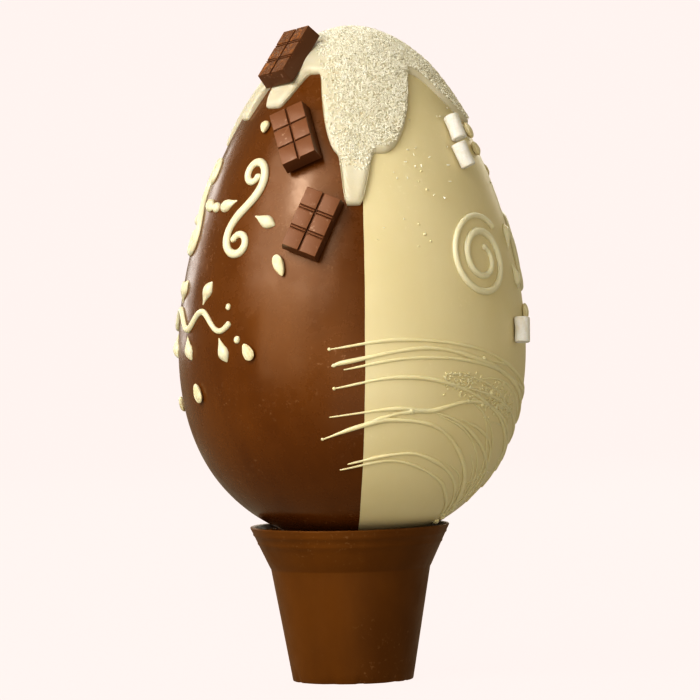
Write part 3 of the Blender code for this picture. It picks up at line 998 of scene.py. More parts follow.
@dataclass
class IcingCap:
    """Thick white icing poured over the top, with rounded drips of uneven length."""

    segments: int = 360
    rings: int = 120
    thickness: float = 2.9 * MM
    sink: float = 0.5 * MM
    roll: float = 3.4 * MM
    lip: float = 0.1
    hem: float = 281 * MM
    uneven: float = 0.8 * MM
    crowding: float = 1.7
    bluntness: float = 0.28
    crown_thinning: float = 0.5
    mound: tuple[float, float, float] = (-50.0, 288.0, 3.2)
    mound_reach: float = 12 * MM
    drips: tuple[tuple[float, float, float, float], ...] = (
        (-3, 47, 25.5, 45), (-54, 20, 12, 20), (-76, 27, 12, 10), (96, 30, 55, 22), (133, 62, 17, 18),
        (164, 30, 15, 16), (196, 48, 18, 14), (222, 24, 13, 15), (252, 44, 16, 15),
    )
    tongue: tuple[float, float, float, float] = (-4.2, 30, 6.5, 10)
    shore: Array = field(init=False)

    def __post_init__(self) -> None:
        """Sample the icing's edge as points on the skin."""
        around = np.linspace(-pi, pi, 2 * self.segments, endpoint=False)
        self.shore = EGG.lay(around, self.edge(around))

    def drop(self, drip: tuple[float, float, float, float], azimuth: Array) -> Array:
        """How far one drip lies below the hem.

        Args:
            drip: Middle, depth in mm, and reach to the left and the right in degrees.
            azimuth: Azimuths in degrees.

        Returns:
            Drops in mm.
        """
        middle, depth, left, right = drip
        away = (azimuth - middle + 180) % 360 - 180
        reach = np.where(away < 0, left, right)
        share = np.clip((np.abs(away) / reach - self.bluntness) / (1 - self.bluntness), 0.0, 1.0)
        return depth * (1 - share * share * (3 - 2 * share))

    def edge(self, azimuth: Array) -> Array:
        """Height of the icing's lower edge.

        Args:
            azimuth: Azimuths in radians.

        Returns:
            Heights in metres.
        """
        degrees = np.degrees(azimuth)
        drop = np.max([self.drop(drip, degrees) for drip in self.drips], axis=0)
        drop = drop + self.drop(self.tongue, degrees)
        circle = np.stack([np.cos(azimuth), np.sin(azimuth), 0 * azimuth], -1)
        return self.hem - drop * MM + self.uneven * waver(circle.reshape(-1, 3), 6.0, 4.4).reshape(azimuth.shape)

    def depth(self, azimuth: Array, height: Array) -> Array:
        """Thickness of the icing, rolled over at its edge with a slightly fuller lip.

        Args:
            azimuth: Azimuths in radians.
            height: Heights in metres.

        Returns:
            Thicknesses in metres.
        """
        skin = EGG.lay(azimuth, height)
        away = np.empty(len(skin))
        for start in range(0, len(skin), 4000):
            part = skin[start:start + 4000]
            gap = part[:, None, :] - self.shore[None, :, :]
            away[start:start + 4000] = np.sqrt((gap * gap).sum(-1).min(-1))
        share = np.clip(away / self.roll, 0.0, 1.0)
        fuller = 1 + self.lip * np.exp(-((away - self.roll) / (0.9 * self.roll)) ** 2)
        swell = 1 + 0.18 * waver(skin, 22.0, 6.1)
        azimuth_at, height_at, rise = self.mound
        from_mound = np.linalg.norm(skin - EGG.lay(radians(azimuth_at), height_at * MM), axis=-1)
        heap = rise * MM * np.exp(-(from_mound / self.mound_reach) ** 2)
        near_top = 1 - self.crown_thinning * np.clip((height - 285 * MM) / (20 * MM), 0.0, 1.0)
        return (self.thickness * fuller * swell * near_top + heap) * np.sqrt(1 - (1 - share) ** 2)

    def build(self) -> None:
        """Model and dress the icing: a ball whose upper half is the surface and whose lower half is its underside."""
        piece = ball("icing_pour", self.segments, self.rings)
        unit = points_of(piece)
        azimuth = np.arctan2(unit[:, 0], -unit[:, 1])
        angle = np.arccos(np.clip(unit[:, 2], -1, 1)) / (pi / 2)
        upper = angle <= 1.0 + 1e-6
        share = np.where(upper, angle, 2 - angle)
        share = 1 - (1 - np.clip(share, 0, 1)) ** self.crowding
        height = EGG.height_at(EGG.polar(self.edge(azimuth)) * share)
        lift = np.where(upper, self.depth(azimuth, height), 0.0) - self.sink * (1 - upper)
        lift[share > 1 - 1e-6] = -0.1 * MM
        place_points(piece, EGG.lay(azimuth, height, lift))
        smooth(piece, 60.0)
        hand_over(piece, ICING.material(), ["icing_cap"])


@dataclass
class ChocolateBars:
    """Small bars of two by three segments, pressed onto the egg."""

    width: float = 23 * MM
    length: float = 39 * MM
    height: float = 9 * MM
    draft: float = 0.8 * MM
    groove_width: float = 1.3 * MM
    groove_depth: float = 1.3 * MM
    twin_spread: float = 0.85 * MM
    rounding: float = 0.3 * MM
    single_grooved: str = "bar_upper"
    crumbled: str = "bar_crown"
    crumbled_thickness: float = 10 * MM
    places: tuple[tuple[str, float, float, float, float, float, float], ...] = (
        ("bar_crown", -55.6, 286.4, -11.2, 0.2, -2.9, 3.0),
        ("bar_upper", -29.8, 241.9, -26.5, -3.0, -0.9, 0.8),
        ("bar_lower", -18.3, 191.8, 19.7, -2.0, 6.0, 1.2),
        ("bar_back", -160.0, 205.0, 24.0, -2.0, 0.0, 0.8),
    )

    def wedge(self, size: Colour, shift: float, wide: int) -> bpy.types.Object:
        """Make a groove's cutter, wider at its top than at its bottom.

        Args:
            size: Size along X, Y and Z.
            shift: Place along Y.
            wide: Axis that widens, 0 for X and 1 for Y.

        Returns:
            The cutter.
        """
        deselect()
        bpy.ops.mesh.primitive_cube_add(size=1.0, location=(0.0, 0.0, 0.0))
        cutter = take("groove_cutter")
        points = points_of(cutter)
        points[points[:, 2] > 0, wide] *= 3.4
        points = points * np.array(size) + np.array([0.0, shift, self.height])
        place_points(cutter, points)
        return cutter

    def blank(self, offsets: Sequence[float]) -> bpy.types.Object:
        """Model one bar at the origin: drafted block, grooves and rounded edges.

        Args:
            offsets: Where the cuts of a cross groove lie, from its middle.

        Returns:
            The bar.
        """
        deselect()
        bpy.ops.mesh.primitive_cube_add(size=1.0, location=(0.0, 0.0, 0.0))
        bar = take("bar_blank")
        points = points_of(bar)
        top = points[:, 2] > 0
        inset = np.where(top, self.draft, 0.0)
        points[:, 0] = np.sign(points[:, 0]) * (self.width / 2 - inset)
        points[:, 1] = np.sign(points[:, 1]) * (self.length / 2 - inset)
        points[:, 2] = np.where(top, self.height, 0.0)
        place_points(bar, points)
        narrow = self.groove_width / 2
        deep = 2 * self.groove_depth
        cutters = [self.wedge((narrow, 2 * self.length, 1.2 * deep), 0.0, 0)]
        for side in (-1, 1):
            for offset in offsets:
                cross = (2 * self.width, narrow * (0.7 if offset else 1.0), deep)
                cutters.append(self.wedge(cross, side * self.length / 6 + offset, 1))
        for cutter in cutters:
            boolean = bar.modifiers.new("groove", "BOOLEAN")
            boolean.object = cutter
            boolean.solver = "EXACT"
        apply_all(bar)
        for cutter in cutters:
            bpy.data.objects.remove(cutter, do_unlink=True)
        bevel = bar.modifiers.new("rounding", "BEVEL")
        bevel.width = self.rounding
        bevel.segments = 3
        bevel.limit_method = "ANGLE"
        bevel.angle_limit = radians(25)
        apply_all(bar)
        return bar

    def mark(self, bar: bpy.types.Object, attribute: str, top: bool) -> None:
        """Mark the bar's upward faces or its flanks with a number that its finish reads: crumbs on top, painted shade
        on the flanks.

        Args:
            bar: The bar, at the origin.
            attribute: The number's name.
            top: Whether the upward faces are marked, and not the flanks.
        """
        marks = [float((face.normal.z > 0.5) == top) for face in bar.data.polygons]
        bar.data.attributes.new(attribute, "FLOAT", "FACE").data.foreach_set("value", marks)

    def build(self) -> None:
        """Model a bar with single and one with twin cross grooves, and set a copy at each place."""
        single = self.blank([0.0])
        twin = self.blank([-self.twin_spread, self.twin_spread])
        material = BAR.material()
        for node, azimuth, height, roll, tip, lean, lift in self.places:
            blank = single if node == self.single_grooved else twin
            bar = blank.copy()
            bar.data = blank.data.copy()
            bar.name = node + "_piece"
            bpy.context.scene.collection.objects.link(bar)
            # The flank mark makes the finish paint shade on the bar's sides.
            self.mark(bar, FLANK_SHADE_ATTRIBUTE, False)
            if node == self.crumbled:
                self.mark(bar, CRUMB_ATTRIBUTE, True)
                bar.data.transform(Matrix.Diagonal((1.0, 1.0, self.crumbled_thickness / self.height, 1.0)))
            bar.data.transform(EGG.seat(azimuth, height * MM, roll, tip, lean, lift * MM))
            smooth(bar, 30.0)
            hand_over(bar, material, [node])
        bpy.data.objects.remove(single, do_unlink=True)
        bpy.data.objects.remove(twin, do_unlink=True)


@dataclass
class Marshmallows:
    """Soft white cylinders with rounded ends, lying on the white half."""

    radius: float = 4.7 * MM
    length: float = 15.2 * MM
    rounding: float = 1.9 * MM
    squash: float = 0.5 * MM
    places: tuple[tuple[float, float, float], ...] = (
        (51.8, 247.6, 4), (49.6, 231.6, -8), (64.5, 129.4, 10),
        (121.0, 118.0, 60), (118.0, 203.0, 25), (158.0, 152.0, -50),
    )

    def one(self, index: int) -> bpy.types.Object:
        """Model one marshmallow along Y, resting on Z = 0.

        Args:
            index: Its number, which shifts its dents.

        Returns:
            The marshmallow.
        """
        deselect()
        bpy.ops.mesh.primitive_cylinder_add(
            vertices=40, radius=self.radius, depth=self.length, end_fill_type="NGON", rotation=(pi / 2, 0.0, 0.0),
        )
        piece = take("marshmallow_piece_%d" % index)
        bpy.ops.object.transform_apply(location=False, rotation=True, scale=False)
        bpy.ops.object.mode_set(mode="EDIT")
        bpy.ops.mesh.select_mode(type="FACE")
        bpy.ops.mesh.select_all(action="DESELECT")
        bpy.ops.object.mode_set(mode="OBJECT")
        for face in piece.data.polygons:
            face.select = abs(face.normal.y) > 0.9
        bpy.ops.object.mode_set(mode="EDIT")
        bpy.ops.mesh.inset(thickness=0.9 * MM)
        bpy.ops.mesh.inset(thickness=1.2 * MM, depth=-0.25 * MM)
        bpy.ops.object.mode_set(mode="OBJECT")
        bevel = piece.modifiers.new("rounding", "BEVEL")
        bevel.width = self.rounding
        bevel.segments = 4
        bevel.limit_method = "ANGLE"
        bevel.angle_limit = radians(50)
        apply_all(piece)
        bpy.ops.object.mode_set(mode="EDIT")
        bpy.ops.mesh.select_all(action="SELECT")
        bpy.ops.mesh.bisect(plane_co=(0.0, 0.0, 0.0), plane_no=(0.0, 1.0, 0.0))
        bpy.ops.object.mode_set(mode="OBJECT")
        points = points_of(piece)
        middle = np.cos(pi / 2 * np.clip(2 * points[:, 1] / self.length, -1, 1))
        dents = self.squash * waver(points, 160.0, 2.0 + index) - 0.5 * self.squash * middle
        reach = np.hypot(points[:, 0], points[:, 2])
        points[:, [0, 2]] *= (1 + dents / np.maximum(reach, MM))[:, None]
        points[:, 2] = np.maximum(points[:, 2] + self.radius, 0.25 * MM)
        place_points(piece, points)
        smooth(piece, 60.0)
        return piece

    def build(self) -> None:
        """Model, place and dress them all."""
        material = MALLOW.material()
        for index, (azimuth, height, turn) in enumerate(self.places, 1):
            piece = self.one(index)
            piece.data.transform(EGG.seat(azimuth, height * MM, turn))
            hand_over(piece, material, ["marshmallow_%d" % index])


@dataclass
class PuffedGrains:
    """Small pale drops with a groove along them."""

    thickness: float = 4.2 * MM
    places: tuple[tuple[float, float, float, float, float], ...] = (
        (-51.6, 249.3, 8, 6, 170), (-29.7, 168.5, 14, 6.5, 154), (-65.9, 92.3, 12, 7, -15),
        (-39.7, 117.9, 11, 7, -32), (-100.0, 84.0, 12, 7, 50), (150.0, 96.0, 13, 7, -30),
        (73.0, 247.3, 10.5, 7, 5), (70.0, 236.5, 9, 6.5, -10), (78.0, 139.6, 10, 6.5, 5), (100.0, 223.4, 9, 6.5, 20),
    )

    def build(self) -> None:
        """Model, place and dress them all."""
        material = GRAIN.material()
        for index, (azimuth, height, length, width, turn) in enumerate(self.places, 1):
            piece = ball("grain_piece_%d" % index, 40, 24)
            points = points_of(piece)
            points = points[:, [0, 2, 1]]
            narrow = 1 - 0.3 * points[:, 1]
            groove = 0.22 * np.exp(-(points[:, 0] / 0.22) ** 2) * (1 - points[:, 1] ** 2) * (points[:, 2] > 0)
            ridges = 0.045 * np.cos(7 * np.arctan2(points[:, 2], points[:, 0])) * (1 - points[:, 1] ** 2)
            lumps = 1 + 0.08 * waver(points, 1.6, index * 3.3) + ridges
            points[:, 0] *= width * MM / 2 * narrow * lumps
            points[:, 1] *= length * MM / 2
            points[:, 2] = (points[:, 2] * lumps - groove) * self.thickness / 2
            points[:, 2] = np.maximum(points[:, 2], -0.35 * self.thickness) + 0.38 * self.thickness
            place_points(piece, points)
            outwards(piece)
            piece.data.transform(EGG.seat(azimuth, height * MM, turn))
            smooth(piece, 70.0)
            hand_over(piece, material, ["grain_%d" % index])


@dataclass
class Bead:
    """One line of soft chocolate laid on the skin, round above and flat below."""

    route: Array
    halves: Array
    dome: float = 0.95
    sides: int = 14
    rings: int = 64
    sink: float = 0.25 * MM
    ripple: float = 0.05

    def lay(self, name: str) -> bpy.types.Object:
        """Stretch a ball along the route.

        Args:
            name: The piece's name.

        Returns:
            The bead.
        """
        dense = 400
        share = np.linspace(0, 1, len(self.route))
        fine = np.linspace(0, 1, dense)
        route = np.stack([np.interp(fine, share, self.route[:, axis]) for axis in (0, 1)], -1)
        skin, _, _, out = EGG.axes(route[:, 0], route[:, 1])
        steps = np.linalg.norm(np.diff(skin, axis=0), axis=1)
        travelled = np.concatenate([[0.0], np.cumsum(steps)])
        total = travelled[-1]
        halves = np.interp(fine, np.linspace(0, 1, len(self.halves)), self.halves)
        piece = ball(name, self.sides, self.rings)
        unit = points_of(piece)
        level = np.arccos(np.clip(unit[:, 2], -1, 1)) / pi
        along = (0.35 * level + 0.65 * (1 - np.cos(pi * level)) / 2) * total
        centre = np.stack([np.interp(along, travelled, skin[:, axis]) for axis in range(3)], -1)
        normal = np.stack([np.interp(along, travelled, out[:, axis]) for axis in range(3)], -1)
        slant = np.gradient(skin, travelled, axis=0)
        ahead = np.stack([np.interp(along, travelled, slant[:, axis]) for axis in range(3)], -1)
        across = np.cross(normal, ahead)
        across /= np.linalg.norm(across, axis=1, keepdims=True)
        half = np.interp(along, travelled, halves)
        half = half * (1 + self.ripple * waver(centre, 190.0, total * 100))
        end = np.minimum(along, total - along)
        half = half * np.sqrt(np.clip(1 - (1 - np.clip(end / np.maximum(half, 1e-6), 0, 1)) ** 2, 0, 1))
        turn = np.arctan2(unit[:, 1], unit[:, 0])
        rise = np.sin(turn)
        lift = np.where(rise > 0, half * self.dome * rise, -self.sink * np.abs(rise))
        place_points(piece, centre + across * (half * np.cos(turn))[:, None] + normal * lift[:, None])
        outwards(piece)
        smooth(piece, 80.0)
        return piece


@dataclass
class PipedOrnament:
    """Scrolls, pearls, a leafy vine and spirals, piped round both halves."""

    scroll_half_length: float = 61 * MM
    scroll_turn: float = 7.2
    scroll_width: float = 5.6 * MM
    scroll_height: float = 202 * MM
    scroll_azimuths: tuple[float, ...] = (-49.0, -87.0, -125.0)
    scroll_leaf_start: float = 9 * MM
    scroll_leaf_heading: float = 20.0
    pearl_size: float = 7 * MM
    spiral_outer: float = 26 * MM
    spiral_inner: float = 6.5 * MM
    spiral_turns: float = 2.1
    spiral_opening: float = radians(40)
    spiral_width: float = 4.6 * MM
    spiral_height: float = 173 * MM
    spiral_azimuths: tuple[float, ...] = (48.0, 94.0, 140.0)
    spiral_leaf_heading: float = 72.0
    vine_height: float = 135 * MM
    vine_swing: float = 5.5 * MM
    vine_wave: float = 21.0
    vine_start: float = -132.0
    vine_waves: int = 4
    vine_width: float = 4.6 * MM
    vine_leaf_heading: float = 62.0
    leaf_clearance: float = 4 * MM
    leaf_length: float = 16 * MM
    leaf_width: float = 8 * MM
    dots: tuple[tuple[float, float, float], ...] = ((-44.7, 124.8, 4.6), (-49.5, 144.0, 4.0))
    material: bpy.types.Material | None = None

    @staticmethod
    def on_egg(azimuth: float, height: float, flat: Array) -> Array:
        """Lay flat points on the egg round a place.

        Args:
            azimuth: The place's azimuth in degrees.
            height: The place's height in metres.
            flat: Rows of x and y in metres.

        Returns:
            Rows of azimuth in radians and height in metres.
        """
        radius = float(EGG.radius(height))
        return np.stack([radians(azimuth) + flat[:, 0] / radius, height + flat[:, 1]], -1)

    def pipe(self, node: str, route: Array, halves: Array, **options: Any) -> None:
        """Pipe one bead in place of its solid.

        Args:
            node: The solid's name.
            route: Rows of azimuth and height.
            halves: Half widths along the route.
            **options: Further fields of the bead.
        """
        hand_over(Bead(route, halves, **options).lay(node + "_piped"), self.material, [node])

    @staticmethod
    def thick_thin(width: float, count: int = 60, blob: float = 0.25) -> Array:
        """Half widths of a line that swells in its middle and ends in round blobs.

        Args:
            width: Full width in its middle.
            count: Number of samples.
            blob: Extra width of the end blobs.

        Returns:
            The half widths.
        """
        share = np.linspace(0, 1, count)
        body = 0.62 + 0.38 * np.sin(pi * share) ** 0.7
        ends = blob * (np.exp(-(share / 0.035) ** 2) + np.exp(-((1 - share) / 0.035) ** 2))
        return width / 2 * (body + ends)

    def scrolls(self) -> None:
        """Pipe the S-shaped scrolls, whose bend grows evenly from the middle, and the pearls between them."""
        share = np.linspace(0, 1, 160) ** 0.6
        middle = (share[1:] + share[:-1]) / 2
        heading = pi / 4 + self.scroll_turn * middle ** 2
        stride = self.scroll_half_length * np.diff(share)
        half = np.stack([np.cumsum(stride * np.cos(heading)), np.cumsum(stride * np.sin(heading))], -1)
        whole = np.vstack([-half[::-1], [[0.0, 0.0]], half])
        for index, azimuth in enumerate(self.scroll_azimuths):
            mirrored = whole * np.array([1 if index % 2 == 0 else -1, 1])
            route = self.on_egg(azimuth, self.scroll_height, mirrored)
            self.pipe("scroll_%d" % (index + 1), route, self.thick_thin(self.scroll_width), rings=110)
        pairs = zip(self.scroll_azimuths, self.scroll_azimuths[1:])
        for index, (left, right) in enumerate(pairs):
            flat = np.array([[-0.5, 0.0], [0.5, 0.0]]) * self.pearl_size
            route = self.on_egg((left + right) / 2, self.scroll_height, flat)
            halves = np.full(4, 0.48 * self.pearl_size)
            self.pipe("pearl_%d" % (index + 1), route, halves, rings=20, sides=24, dome=0.9)

    def vine(self) -> None:
        """Pipe the vine's wavy stem."""
        wave = np.linspace(0, self.vine_waves, 160)
        azimuth = np.radians(self.vine_start + self.vine_wave * wave)
        height = self.vine_height + self.vine_swing * np.sin(tau * wave)
        self.pipe("vine", np.stack([azimuth, height], -1), self.thick_thin(self.vine_width), rings=140)

    def spirals(self) -> None:
        """Pipe the spirals on the white half."""
        share = np.linspace(0, 1, 200)
        radius = self.spiral_outer + (self.spiral_inner - self.spiral_outer) * share
        angle = self.spiral_opening + tau * self.spiral_turns * share
        flat = np.stack([radius * np.cos(angle), radius * np.sin(angle)], -1)
        for index, azimuth in enumerate(self.spiral_azimuths):
            route = self.on_egg(azimuth, self.spiral_height, flat)
            self.pipe("spiral_%d" % (index + 1), route, self.thick_thin(self.spiral_width), rings=130, dome=1.0)

    def leaf_places(self) -> list[tuple[float, float, float, float, float]]:
        """List the leaves.

        Returns:
            Azimuth, height, start x and y on the skin, and heading in degrees, of each leaf.
        """
        places = []
        for index, azimuth in enumerate(self.scroll_azimuths):
            mirror = 1 if index % 2 == 0 else -1
            for side in (-1, 1):
                start = side * self.scroll_leaf_start
                heading = side * mirror * self.scroll_leaf_heading + (180 if side * mirror < 0 else 0)
                places.append((azimuth, self.scroll_height, start * mirror, -start / 2, -heading))
        for wave in range(self.vine_waves):
            crest = self.vine_start + self.vine_wave * (wave + 0.25)
            start = self.vine_swing + self.leaf_clearance
            places.append((crest, self.vine_height, 0.0, start, self.vine_leaf_heading))
            places.append((crest + self.vine_wave / 2, self.vine_height, 0.0, -start, -self.vine_leaf_heading))
        for left, right in zip(self.spiral_azimuths, self.spiral_azimuths[1:]):
            for heading in (self.spiral_leaf_heading, -self.spiral_leaf_heading):
                start = self.leaf_clearance if heading > 0 else -self.leaf_clearance
                places.append(((left + right) / 2, self.spiral_height, 0.0, start, heading))
        return places

    def leaves(self) -> None:
        """Pipe the leaves: drops with a pointed start and a round end."""
        share = np.linspace(0, 1, 40)
        halves = self.leaf_width / 2 * (0.12 + 0.88 * np.sin(pi * share ** 1.5).clip(0))
        for index, (azimuth, height, x, y, heading) in enumerate(self.leaf_places()):
            turn = radians(heading)
            flat = np.stack([x + self.leaf_length * share * cos(turn), y + self.leaf_length * share * sin(turn)], -1)
            self.pipe("leaf_%d" % (index + 1), self.on_egg(azimuth, height, flat), halves, rings=36, dome=0.8)

    def small_dots(self) -> None:
        """Pipe the small dots beside the vine, which are too small to be solids."""
        for index, (azimuth, height, size) in enumerate(self.dots):
            route = self.on_egg(azimuth, height * MM, np.array([[-0.1, -0.5], [0.1, 0.5]]) * size * MM)
            bead = Bead(route, np.full(4, 0.44 * size * MM), rings=20, sides=20, dome=0.85)
            hand_over(bead.lay("dot_piped_%d" % (index + 1)), self.material)

    def build(self) -> None:
        """Pipe the whole ornament."""
        self.material = PIPED.material()
        self.small_dots()
        self.scrolls()
        self.vine()
        self.spirals()
        self.leaves()


@dataclass
class Drizzle:
    """Thin strands flicked round the white half, which run together and pool on the pot's rim."""

    width: float = 2.5 * MM
    pool_width: float = 4.6
    pool_steps: int = 7
    pool: tuple[float, float] = (61, 17)
    strands: tuple[tuple[float, tuple[tuple[float, float], ...]], ...] = (
        (0.9, ((-11.5, 120), (12, 125.5), (40, 120), (66, 104), (92, 84))),
        (1.15, ((-11, 110), (-5, 113), (20, 120.5), (42, 113), (67, 96), (90, 72))),
        (0.9, ((-7, 108), (11, 114), (28, 114.5), (45, 110), (62, 101), (84, 90))),
        (1.0, ((-10, 97), (11, 103.5), (31, 98.5), (56, 79), (84, 44))),
        (1.0, ((-12, 80), (10, 85), (23, 83.5), (40, 88.5), (58, 79), (84, 50))),
        (1.15, ((-15, 66.5), (-1, 75), (10, 78.5), (27, 73), (44, 50), (58, 24))),
        (1.0, ((-1, 75), (11, 82), (23, 84))),
        (0.9, ((-6, 52), (10, 57.5), (22, 57), (39, 44.5), (58, 20))),
        (0.85, ((-9, 48.5), (12, 54), (32, 43), (43, 32), (57, 18))),
        (0.9, ((22, 84), (33, 78), (44, 68), (66, 42), (72, 26))),
        (0.8, ((31, 98.5), (48, 92), (64, 82), (90, 60))),
        (0.8, ((36, 78), (48, 70), (58, 58), (66, 30))),
        (0.6, ((33, 105), (46, 99), (58, 88), (72, 60), (84, 34))),
        (0.6, ((26, 81), (38, 72), (50, 55), (60, 33), (64, 18))),
        (0.55, ((38, 90), (47, 80), (52, 66), (59, 44), (63, 24))),
        (0.55, ((40, 101), (52, 101), (66, 92), (80, 74))),
        (0.5, ((43, 86), (54, 70), (62, 50), (65, 30))),
        (0.5, ((45, 57), (52, 46), (57, 33), (62, 18))),
        (0.45, ((34, 52), (44, 44), (50, 34), (57, 22))),
        (0.45, ((49, 34), (55, 40), (63, 44), (74, 44))),
        (0.5, ((47, 112), (60, 108), (74, 96), (92, 92))),
        (0.45, ((52, 76), (66, 70), (78, 56), (88, 34))),
    )
    crust: tuple[float, float, float, float] = (27.0, 68.0, 78.0, 105.0)
    crust_count: int = 320
    lumps: tuple[tuple[float, float, float], ...] = (
        (-11.5, 120, 2.2), (-10, 110.5, 2.6), (-10, 97, 2.2), (-14.5, 67, 2.0), (16, 83.5, 4.2), (44, 113.5, 3.6),
        (26, 224, 1.6), (24, 218, 1.3), (27, 213, 1.8), (21, 193, 1.5), (23, 187, 2.0), (25, 183, 1.6), (20, 180, 1.3),
        (51, 108, 3.2), (38, 88.5, 3.6), (31, 98.5, 3.0), (45, 86, 3.4), (49, 93, 3.8), (53, 84, 3.2),
    )

    def strand(
        self, name: str, share: float, marks: Sequence[tuple[float, float]], back: bool, seed: int
    ) -> bpy.types.Object:
        """Lay one strand.

        Args:
            name: The piece's name.
            share: Its share of the usual width.
            marks: Azimuths in degrees and heights in mm that it passes.
            back: Whether it lies on the far side, mirrored.
            seed: Shifts its swellings.

        Returns:
            The strand.
        """
        route = smooth_route(marks, 160)
        azimuth = np.radians(180 - route[:, 0] if back else route[:, 0])
        height = route[:, 1] * MM + (2.5 * MM * sin(seed * 2.4) if back else 0.0)
        along = np.linspace(0, 1, 60)
        slim = 0.35 + 0.65 * np.clip(along / 0.2, 0, 1) ** 0.8
        wave = 1 + 0.16 * np.sin(along * (9 + seed % 4) + seed) + 0.08 * np.sin(along * 31 + 2 * seed)
        halves = self.width / 2 * share * slim * wave
        return Bead(np.stack([azimuth, height], -1), halves, dome=0.9, sides=10, rings=110, ripple=0.12).lay(name)

    def lump(self, name: str, azimuth: float, height: float, size: float) -> bpy.types.Object:
        """Lay one small lump where strands cross or start.

        Args:
            name: The piece's name.
            azimuth: Azimuth in degrees.
            height: Height in mm.
            size: Width in mm.

        Returns:
            The lump.
        """
        reach = size * MM / float(EGG.radius(height * MM))
        route = np.array([[radians(azimuth) - reach / 2, height * MM], [radians(azimuth) + reach / 2, height * MM]])
        return Bead(route, np.full(4, size * MM / 2.1), dome=0.85, sides=12, rings=16, ripple=0.2).lay(name)

    def crumbs(self, back: bool) -> bpy.types.Object:
        """Scatter the crust of small crumbs where the strands run together.

        Args:
            back: Whether it is the far side.

        Returns:
            The crumbs.
        """
        rng = np.random.default_rng(23)
        left, right, lowest, highest = self.crust
        count = self.crust_count
        along = rng.uniform(0.0, 1.0, count)
        azimuth = np.radians(left + (right - left) * along)
        azimuth = pi - azimuth if back else azimuth
        drop = np.clip(along + rng.normal(0.0, 0.17, count), 0.0, 1.0)
        skin, side, up, out = EGG.axes(azimuth, (highest - (highest - lowest) * drop) * MM)
        piece = ball("crust_part", 10, 7)
        points = points_of(piece)
        place_points(piece, points * (1 + 0.3 * waver(points, 1.4, 5.2))[:, None])
        spin = rng.uniform(0, tau, count)[:, None]
        first = side * np.cos(spin) + up * np.sin(spin)
        sizes = np.stack([
            rng.uniform(0.6, 1.9, count), rng.uniform(0.35, 0.8, count), rng.uniform(0.4, 0.7, count),
        ], -1) * MM
        scatter(piece, skin + out * 0.15 * MM, (first, np.cross(out, first), out), sizes)
        smooth(piece, 80.0)
        return piece

    def side(self, back: bool) -> bpy.types.Object:
        """Lay all strands of one side, with their lumps and pool.

        Args:
            back: Whether it is the far side.

        Returns:
            The joined strands.
        """
        parts = []
        for seed, (share, marks) in enumerate(self.strands):
            parts.append(self.strand("strand_part", share, marks, back, seed))
        parts.append(self.crumbs(back))
        for azimuth, height, size in self.lumps:
            parts.append(self.lump("lump_part", 180 - azimuth if back else azimuth, height, size))
        middle, low = self.pool
        for step in range(self.pool_steps):
            azimuth = middle + 3.2 * sin(step * 2.4)
            height = low - 2 + 2.2 * step
            size = self.pool_width * (1 - 0.1 * step)
            parts.append(self.lump("pool_part", 180 - azimuth if back else azimuth, height, size))
        return join("drizzle_back" if back else "drizzle_front", parts)

    def build(self) -> None:
        """Lay and dress both sides."""
        material = DRIZZLE.material()
        for back, node in ((False, "strand_front"), (True, "strand_back")):
            piece = self.side(back)
            smooth(piece, 80.0)
            hand_over(piece, material, [node])


